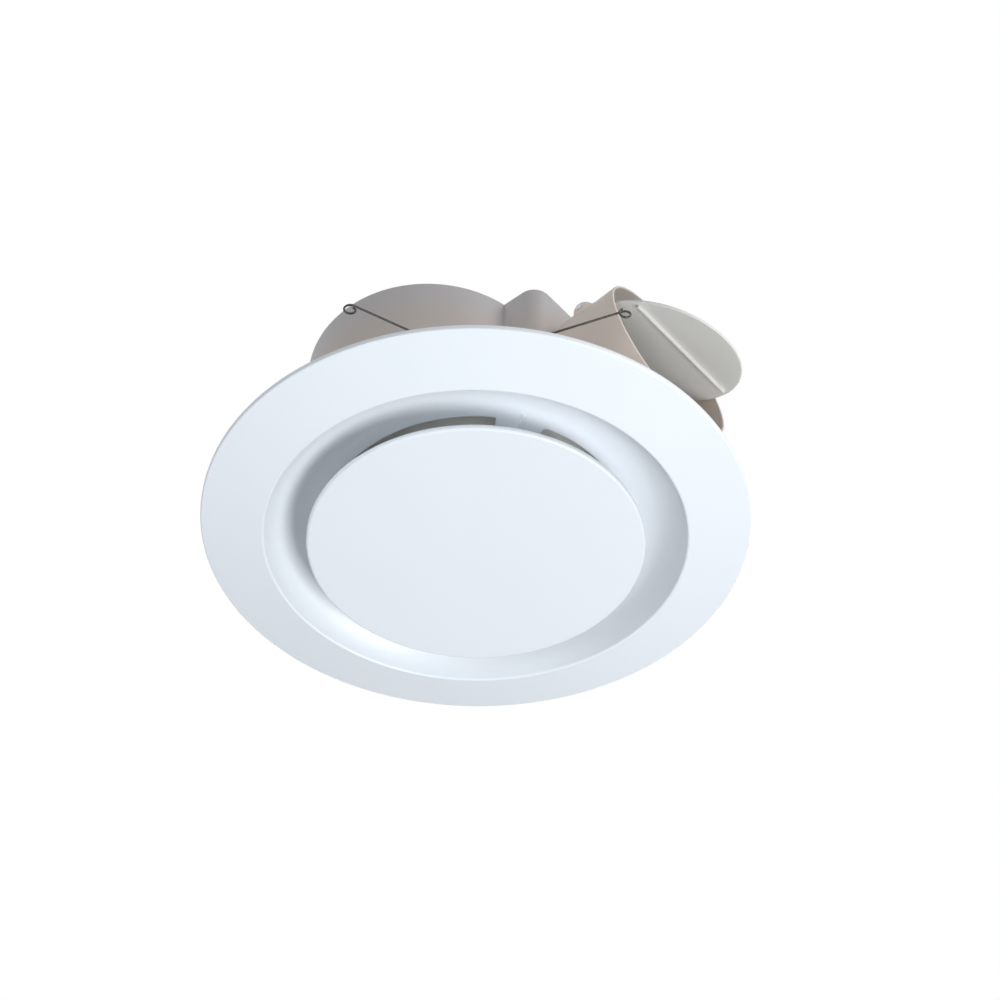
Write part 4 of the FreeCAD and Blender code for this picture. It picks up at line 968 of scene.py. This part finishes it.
@dataclass
class TerminalBox:
    """Terminal box with its lid and the gland for the supply cable."""

    low: Point = (52.0, -64.0, 20.5)
    width: float = 26.0
    height: float = 30.0
    wall: float = 2.0
    lid: float = 2.5
    easing: Easing = (1.6, 5)
    lid_easing: Easing = (0.6, 3)
    post: float = 4.05
    post_radius: float = 3.6
    gland_rise: float = 16.5
    gland_bore: float = 4.0
    gland_radius: float = 6.0
    nut_radius: float = 8.5
    nut_length: float = 4.0
    nut_easing: float = 0.5
    nut_sides: int = 6
    tail: float = 8.0
    ridges: int = 5
    ridge_share: float = 0.7
    groove_share: float = 0.85
    groove_depth: float = 0.7
    tail_easing: float = 0.4
    sink: float = 0.5
    reach: float = 5.0
    bore_ends: tuple[float, float] = (-20.0, 30.0)

    @property
    def screw_places(self) -> list[Point]:
        """Where the lid's two screws seat."""
        x, y, z = self.low
        top, far = z + self.height + self.lid, self.width - self.post
        return [(x + self.post, y + self.post, top), (x + far, y + far, top)]

    def build(self) -> list[bpy.types.Object]:
        """Build the box, the lid and the gland."""
        return [self._case().finish(BODY_GREY, HOUSING, ["terminal_box"]),
                self._lid().finish(BODY_GREY, HOUSING, ["terminal_cover"]),
                self._gland().finish(DARK_PLASTIC, HOUSING, ["cable_gland"], sharp=25.0)]

    def _outer(self, name: str, foot: float, head: float) -> Workpiece:
        """Make a block of the box's plan between two heights, with eased uprights."""
        x, y, _ = self.low
        block = Workpiece(name).block((x, y, foot), (x + self.width, y + self.width, head))
        return block.ease(*self.easing, lambda edge: abs(edge.verts[0].co.z - edge.verts[1].co.z) > 1)

    def _case(self) -> Workpiece:
        """Make the open case with its screw posts and the gland's hole."""
        x, y, z = self.low
        top, thin = z + self.height, self.wall
        case = self._outer("terminal_case", z, top)
        hollow = Workpiece("hollow").block((x + thin, y + thin, z + thin),
                                           (x + self.width - thin, y + self.width - thin, top + self.reach))
        case.join(hollow, Joining.CUT)
        for place in self.screw_places:
            post = Workpiece("post").rod((*place[:2], z + self.sink), (*place[:2], top),
                                         self.post_radius, POST_SIDES)
            case.join(post, Joining.ADD)
        middle, level = x + self.width / 2, z + self.gland_rise
        hole = Workpiece("hole").rod((middle, y - self.reach, level), (middle, y + self.reach, level),
                                     self.gland_radius, HOLE_SIDES)
        return case.join(hole, Joining.CUT)

    def _lid(self) -> Workpiece:
        """Make the lid with its eased upper edge."""
        foot = self.low[2] + self.height
        lid = self._outer("terminal_lid", foot, foot + self.lid)
        return lid.ease(*self.lid_easing, lambda edge: all(
            vert.co.z > foot + self.lid - FINE_GAP for vert in edge.verts))

    def _gland(self) -> Workpiece:
        """Make the gland: its neck, a hexagon nut, and a grooved tail, along minus Y."""
        root, nut_end = (0, 0, -2 * self.wall), (0, 0, self.nut_length)
        gland = Workpiece("gland").rod(root, nut_end, self.gland_radius, HOLE_SIDES)
        nut = Workpiece("nut").rod((0, 0, 0), nut_end, self.nut_radius, self.nut_sides, self.nut_easing)
        gland.join(nut, Joining.ADD)
        step = self.tail / self.ridges
        tail = Workpiece("tail").start(0, 0, self.nut_length - self.sink)
        tail.line_to(self.gland_radius, 0, self.nut_length - self.sink)
        for number in range(self.ridges):
            foot = self.nut_length + number * step
            tail.line_to(self.gland_radius, 0, foot + self.ridge_share * step)
            tail.line_to(self.gland_radius - self.groove_depth, 0, foot + self.groove_share * step)
            last = number == self.ridges - 1
            tail.line_to(self.gland_radius - self.tail_easing * last, 0, foot + step)
        tail.line_to(0, 0, self.nut_length + self.tail).lathe(HOLE_SIDES)
        gland.join(tail, Joining.ADD)
        inner, outer = self.bore_ends
        bore = Workpiece("cable_bore").rod((0, 0, inner), (0, 0, outer), self.gland_bore, POST_SIDES)
        gland.join(bore, Joining.CUT)
        x, y, z = self.low
        at = Matrix.Translation((x + self.width / 2, y, z + self.gland_rise))
        return gland.move(at @ Matrix.Rotation(math.radians(90), 4, "X"))


@dataclass
class ScrewSet:
    """A group of like screws with domed heads and cross recesses."""

    node: str
    places: Sequence[Point]
    way: Vector
    length: float = 12.0
    shank_radius: float = 1.9
    head_radius: float = 3.6
    head_side: float = 1.1
    head_height: float = 2.4
    dome_steps: int = 6
    tip_taper: float = 0.6
    tip_length: float = 1.0
    recess: Point = (4.4, 0.9, 1.3)
    recess_reach: float = 1.0

    def build(self) -> list[bpy.types.Object]:
        """Build the group.

        Returns:
            The finished objects.
        """
        group = Workpiece(f"{self.node}_set")
        turn = Z_AXIS.rotation_difference(self.way).to_matrix().to_4x4()
        for at in self.places:
            group.take(self._screw().move(Matrix.Translation(at) @ turn))
        return [group.finish(ZINC_SCREW, HOUSING, [self.node])]

    def _screw(self) -> Workpiece:
        """Turn one screw and cut the cross in its head."""
        rise = self.head_height - self.head_side
        dome = (self.head_radius ** 2 + rise ** 2) / (2 * rise)
        sweep = math.degrees(math.asin(self.head_radius / dome))
        screw = Workpiece("screw").start(0, 0, -self.length)
        screw.line_to(self.shank_radius - self.tip_taper, 0, -self.length)
        screw.line_to(self.shank_radius, 0, self.tip_length - self.length).line_to(self.shank_radius, 0, 0)
        screw.line_to(self.head_radius, 0, 0).line_to(self.head_radius, 0, self.head_side)
        screw.arc((0, 0, self.head_height - dome), Y_AXIS, -sweep, self.dome_steps).lathe(POST_SIDES)
        long, wide, deep = self.recess
        for x, y in ((long / 2, wide / 2), (wide / 2, long / 2)):
            slot = Workpiece("slot").block((-x, -y, self.head_height - deep),
                                           (x, y, self.head_height + self.recess_reach))
            screw.join(slot, Joining.CUT)
        return screw


def screw_sets() -> list[ScrewSet]:
    """List the groups of screws that hold the fan together.

    Returns:
        The groups.
    """
    scroll, outlet = Scroll(), Outlet()
    lid_top, pan_under = scroll.top + scroll.lid, Pan().height - Pan().wall
    circle = [math.radians(azimuth) for azimuth in MOTOR_SCREW_AZIMUTHS]
    motor = [(scroll.axis_x + MOTOR_SCREW_CIRCLE * math.cos(a),
              scroll.axis_y + MOTOR_SCREW_CIRCLE * math.sin(a), lid_top) for a in circle]
    face, (near_y, far_y), (low_z, high_z) = outlet.flange_high[0], outlet.screw_ys, outlet.screw_levels
    spigot = [(face, near_y, low_z), (face, far_y, low_z), (face, far_y, high_z)]
    return [ScrewSet("cover_screws", [(x, y, lid_top) for x, y in scroll.bosses], Z_AXIS),
            ScrewSet("pan_screws", [(x, y, pan_under) for x, y in scroll.bosses], -Z_AXIS),
            ScrewSet("motor_screws", motor, Z_AXIS),
            ScrewSet("spigot_screws", spigot, X_AXIS),
            ScrewSet("terminal_screws", TerminalBox().screw_places, Z_AXIS)]


@dataclass
class WireClips:
    """Two wire ceiling clips, each of two arms that spring from a coil."""

    azimuths: dict[str, float] = field(default_factory=lambda: {"near": -47.5, "far": 132.5})
    circle: float = 114.0
    level: float = 19.0
    rises: dict[str, float] = field(default_factory=lambda: {"right": 27.5, "left": 32.0})
    wire: float = 0.6
    wire_sides: int = 14
    coil: float = 4.5
    coil_steps: int = 40
    pitch: float = 1.75
    turns: float = 1.25
    half_gap: float = 0.3
    arm: float = 77.0
    eye: float = 2.9
    eye_steps: int = 36

    def build(self) -> list[bpy.types.Object]:
        """Build the four arms.

        Returns:
            The finished objects.
        """
        made = []
        for end, azimuth in self.azimuths.items():
            heading = math.radians(azimuth)
            at = (self.circle * math.cos(heading), self.circle * math.sin(heading), self.level)
            for hand, side in (("right", 0.0), ("left", 180.0)):
                arm = self._arm(f"clip_{end}_{hand}", math.radians(self.rises[hand]))
                arm.move(turned_about(azimuth + side, at))
                made.append(arm.finish(SPRING_WIRE, f"spring_{end}_{hand}",
                                       [f"spring_arm_{end}_{hand}"], sharp=40.0))
        return made

    def _arm(self, name: str, rise: float) -> Workpiece:
        """Wind one arm's turns, then draw out its straight and curl its eye.

        The coil's axis is along X, and the arm points along Y and up.

        Args:
            name: The piece's name.
            rise: How far the arm points up, in radians.

        Returns:
            The piece about the coil's middle.
        """
        leave = rise - math.pi / 2
        begin = leave - self.turns * math.tau
        at = Vector((self.half_gap + self.wire, self.coil * math.cos(begin), self.coil * math.sin(begin)))
        arm = Workpiece(name)
        ring = bmesh.ops.create_circle(arm.bm, cap_ends=True, segments=self.wire_sides,
                                       radius=self.wire)["verts"]
        way = Vector((0, -math.sin(begin), math.cos(begin)))
        turn = Z_AXIS.rotation_difference(way).to_matrix().to_4x4()
        bmesh.ops.transform(arm.bm, matrix=Matrix.Translation(at) @ turn, verts=ring)
        steps = int(self.turns * self.coil_steps)
        climb = Vector((self.turns * self.pitch / steps, 0, 0))
        end = self._sweep(arm, arm.bm.faces[:], (0, 0, 0), X_AXIS, self.turns * 360, steps, climb)
        out = Vector((0, math.cos(rise), math.sin(rise)))
        over = Vector((0, -math.sin(rise), math.cos(rise)))
        end = self._draw(arm, end, out * self.arm)
        bend = Vector((0, self.coil * math.cos(leave), self.coil * math.sin(leave))) + out * self.arm
        self._sweep(arm, end, bend - over * self.eye, -X_AXIS, 360, self.eye_steps,
                    Vector((self.pitch / self.eye_steps, 0, 0)))
        return arm.tidy()

    @staticmethod
    def _sweep(arm: Workpiece, faces: Sequence[bmesh.types.BMFace], centre: Sequence[float], axis: Vector,
               degrees: float, steps: int, climb: Vector) -> list[bmesh.types.BMFace]:
        """Sweep an end face round an axis.

        Args:
            arm: The wire.
            faces: The end face.
            centre: A point on the axis.
            axis: The axis's direction.
            degrees: How far to turn.
            steps: How many steps to take.
            climb: How far each step moves along the axis.

        Returns:
            The new end face.
        """
        spun = bmesh.ops.spin(arm.bm, geom=list(faces), cent=centre, axis=axis, dvec=climb,
                              angle=math.radians(degrees), steps=steps, use_merge=False)
        return [item for item in spun["geom_last"] if isinstance(item, bmesh.types.BMFace)]

    @staticmethod
    def _draw(arm: Workpiece, faces: Sequence[bmesh.types.BMFace], way: Vector) -> list[bmesh.types.BMFace]:
        """Draw an end face out in a straight line and return the new one."""
        grown = bmesh.ops.extrude_face_region(arm.bm, geom=list(faces))["geom"]
        verts = [item for item in grown if isinstance(item, bmesh.types.BMVert)]
        bmesh.ops.translate(arm.bm, vec=way, verts=verts)
        return [item for item in grown if isinstance(item, bmesh.types.BMFace)]


def dress_frame() -> None:
    """Give every node of the frame its finish."""
    by_slot = {finish.slot: finish for finish in FINISHES}
    slots = {part["node"]: part["material_slot"] for part in frame["record"]["subparts"]}
    for node, item in frame["nodes"].items():
        item.data.materials.clear()
        finish = NODE_FINISHES.get(node, by_slot[slots[node]])
        item.data.materials.append(finish.material())
        LOG.info("%s: %s, %s", node, finish.slot, finish.shade)


@dataclass(frozen=True)
class Lamp:
    """A soft square lamp. Its place and side are in metres, its power in watts, its spread in degrees."""

    name: str
    at: Point
    power: float
    side: float
    colour: Colour
    spread: float = 180.0
    aim: Point = (0.0, 0.0, 0.03)

    def hang(self) -> None:
        """Hang the lamp so that it points at the fan."""
        data = bpy.data.lights.new(self.name, "AREA")
        data.spread = math.radians(self.spread)
        data.energy = self.power
        data.size = self.side
        data.color = self.colour
        lamp = bpy.data.objects.new(self.name, data)
        lamp.location = self.at
        way = Vector(self.aim) - Vector(self.at)
        lamp.rotation_euler = way.to_track_quat("-Z", "Y").to_euler()
        bpy.context.scene.collection.objects.link(lamp)


LAMPS = (Lamp("key", (0.93, 0.43, -1.34), 22.4, 0.8, (0.922, 0.961, 1.0)),
         Lamp("fill", (0.0, -1.54, -0.72), 12.4, 1.2, (0.894, 0.947, 1.0)),
         Lamp("duct", (1.52, 0.27, 0.72), 15.9, 1.2, (0.946, 0.976, 1.0)),
         Lamp("rear", (-1.10, 0.90, 1.60), 0.23, 0.4, (0.913, 0.956, 1.0), 16.0))


@dataclass
class Studio:
    """Pale floor, white surroundings, soft lamps and the camera."""

    eye: Point = (0.4330, -0.4960, -0.6141)
    right: Point = (0.76604, 0.64279, 0.0)
    up: Point = (0.44841, -0.53440, 0.71641)
    lens: float = 60.0
    sensor: float = 36.0
    sight: float = 50.0
    floor_z: float = -1.6
    floor_radius: float = 12.0
    floor_sides: int = 64
    floor_glow: float = 0.8
    world_light: float = 0.10
    world_colour: Colour = (1.0, 0.985, 0.955)

    def build(self) -> None:
        """Set the camera, the lamps, the world and the floor."""
        bpy.context.scene.view_settings.view_transform = "Standard"
        self._camera()
        self._world()
        self._floor()
        for lamp in LAMPS:
            lamp.hang()

    def _camera(self) -> None:
        """Set the camera at the photograph's viewing angle."""
        data = bpy.data.cameras.new("camera")
        data.lens = self.lens
        data.sensor_width = self.sensor
        data.clip_end = self.sight
        camera = bpy.data.objects.new("camera", data)
        right, up = Vector(self.right), Vector(self.up)
        turn = Matrix((right, up, right.cross(up))).transposed().to_4x4()
        camera.matrix_world = Matrix.Translation(self.eye) @ turn
        bpy.context.scene.collection.objects.link(camera)
        bpy.context.scene.camera = camera

    def _world(self) -> None:
        """Light the room evenly and show it white to the camera and in gloss."""
        world = bpy.data.worlds.new("surroundings")
        bpy.context.scene.world = world
        world.use_nodes = True
        nodes, links = world.node_tree.nodes, world.node_tree.links
        nodes.clear()
        out = nodes.new("ShaderNodeOutputWorld")
        soft, white, mix = (nodes.new(kind) for kind in (
            "ShaderNodeBackground", "ShaderNodeBackground", "ShaderNodeMixShader"))
        soft.inputs["Color"].default_value = (*self.world_colour, 1.0)
        soft.inputs["Strength"].default_value = self.world_light
        white.inputs["Color"].default_value = (1.0, 1.0, 1.0, 1.0)
        links.new(self._seen_ray(world.node_tree), mix.inputs["Fac"])
        links.new(soft.outputs["Background"], mix.inputs[1])
        links.new(white.outputs["Background"], mix.inputs[2])
        links.new(mix.outputs["Shader"], out.inputs["Surface"])

    @staticmethod
    def _seen_ray(tree: bpy.types.NodeTree) -> bpy.types.NodeSocket:
        """Add nodes that pick camera, glossy and transmission rays.

        Args:
            tree: The nodes to add them to.

        Returns:
            The socket that is 1 for those rays.
        """
        path = tree.nodes.new("ShaderNodeLightPath")
        first, second = (tree.nodes.new("ShaderNodeMath") for _ in range(2))
        for node in (first, second):
            node.operation = "MAXIMUM"
        tree.links.new(path.outputs["Is Camera Ray"], first.inputs[0])
        tree.links.new(path.outputs["Is Glossy Ray"], first.inputs[1])
        tree.links.new(first.outputs["Value"], second.inputs[0])
        tree.links.new(path.outputs["Is Transmission Ray"], second.inputs[1])
        return second.outputs["Value"]

    def _floor(self) -> None:
        """Lay a wide pale floor far below the fan."""
        floor = bmesh.new()
        bmesh.ops.create_circle(floor, cap_ends=True, segments=self.floor_sides, radius=self.floor_radius,
                                matrix=Matrix.Translation((0, 0, self.floor_z)))
        mesh = bpy.data.meshes.new("floor")
        floor.to_mesh(mesh)
        floor.free()
        made = bpy.data.objects.new("floor", mesh)
        bpy.context.scene.collection.objects.link(made)
        mesh.materials.append(self._floor_material())

    def _floor_material(self) -> bpy.types.Material:
        """Make the floor's surface, which looks pale to the camera and in gloss.

        Returns:
            The material.
        """
        made = FLOOR_PALE.material()
        nodes, links = made.node_tree.nodes, made.node_tree.links
        shader = nodes["Principled BSDF"]
        share, glow, mix = (nodes.new(kind) for kind in (
            "ShaderNodeMath", "ShaderNodeEmission", "ShaderNodeMixShader"))
        share.operation = "MULTIPLY"
        share.inputs[1].default_value = self.floor_glow
        links.new(self._seen_ray(made.node_tree), share.inputs[0])
        links.new(shader.inputs["Base Color"].links[0].from_socket, glow.inputs["Color"])
        links.new(share.outputs["Value"], mix.inputs["Fac"])
        links.new(shader.outputs["BSDF"], mix.inputs[1])
        links.new(glow.outputs["Emission"], mix.inputs[2])
        links.new(mix.outputs["Shader"], nodes["Material Output"].inputs["Surface"])
        return made


def main() -> None:
    """Build every sub-assembly, dress the frame and set the studio."""
    dress_frame()
    for assembly in (Fascia(), Pan(), Scroll(), Outlet(), TerminalBox(), *screw_sets(), WireClips()):
        for made in assembly.build():
            LOG.info("built %s", made.name)
    Studio().build()
    bpy.context.view_layer.update()


if __name__ == "__main__":
    main()
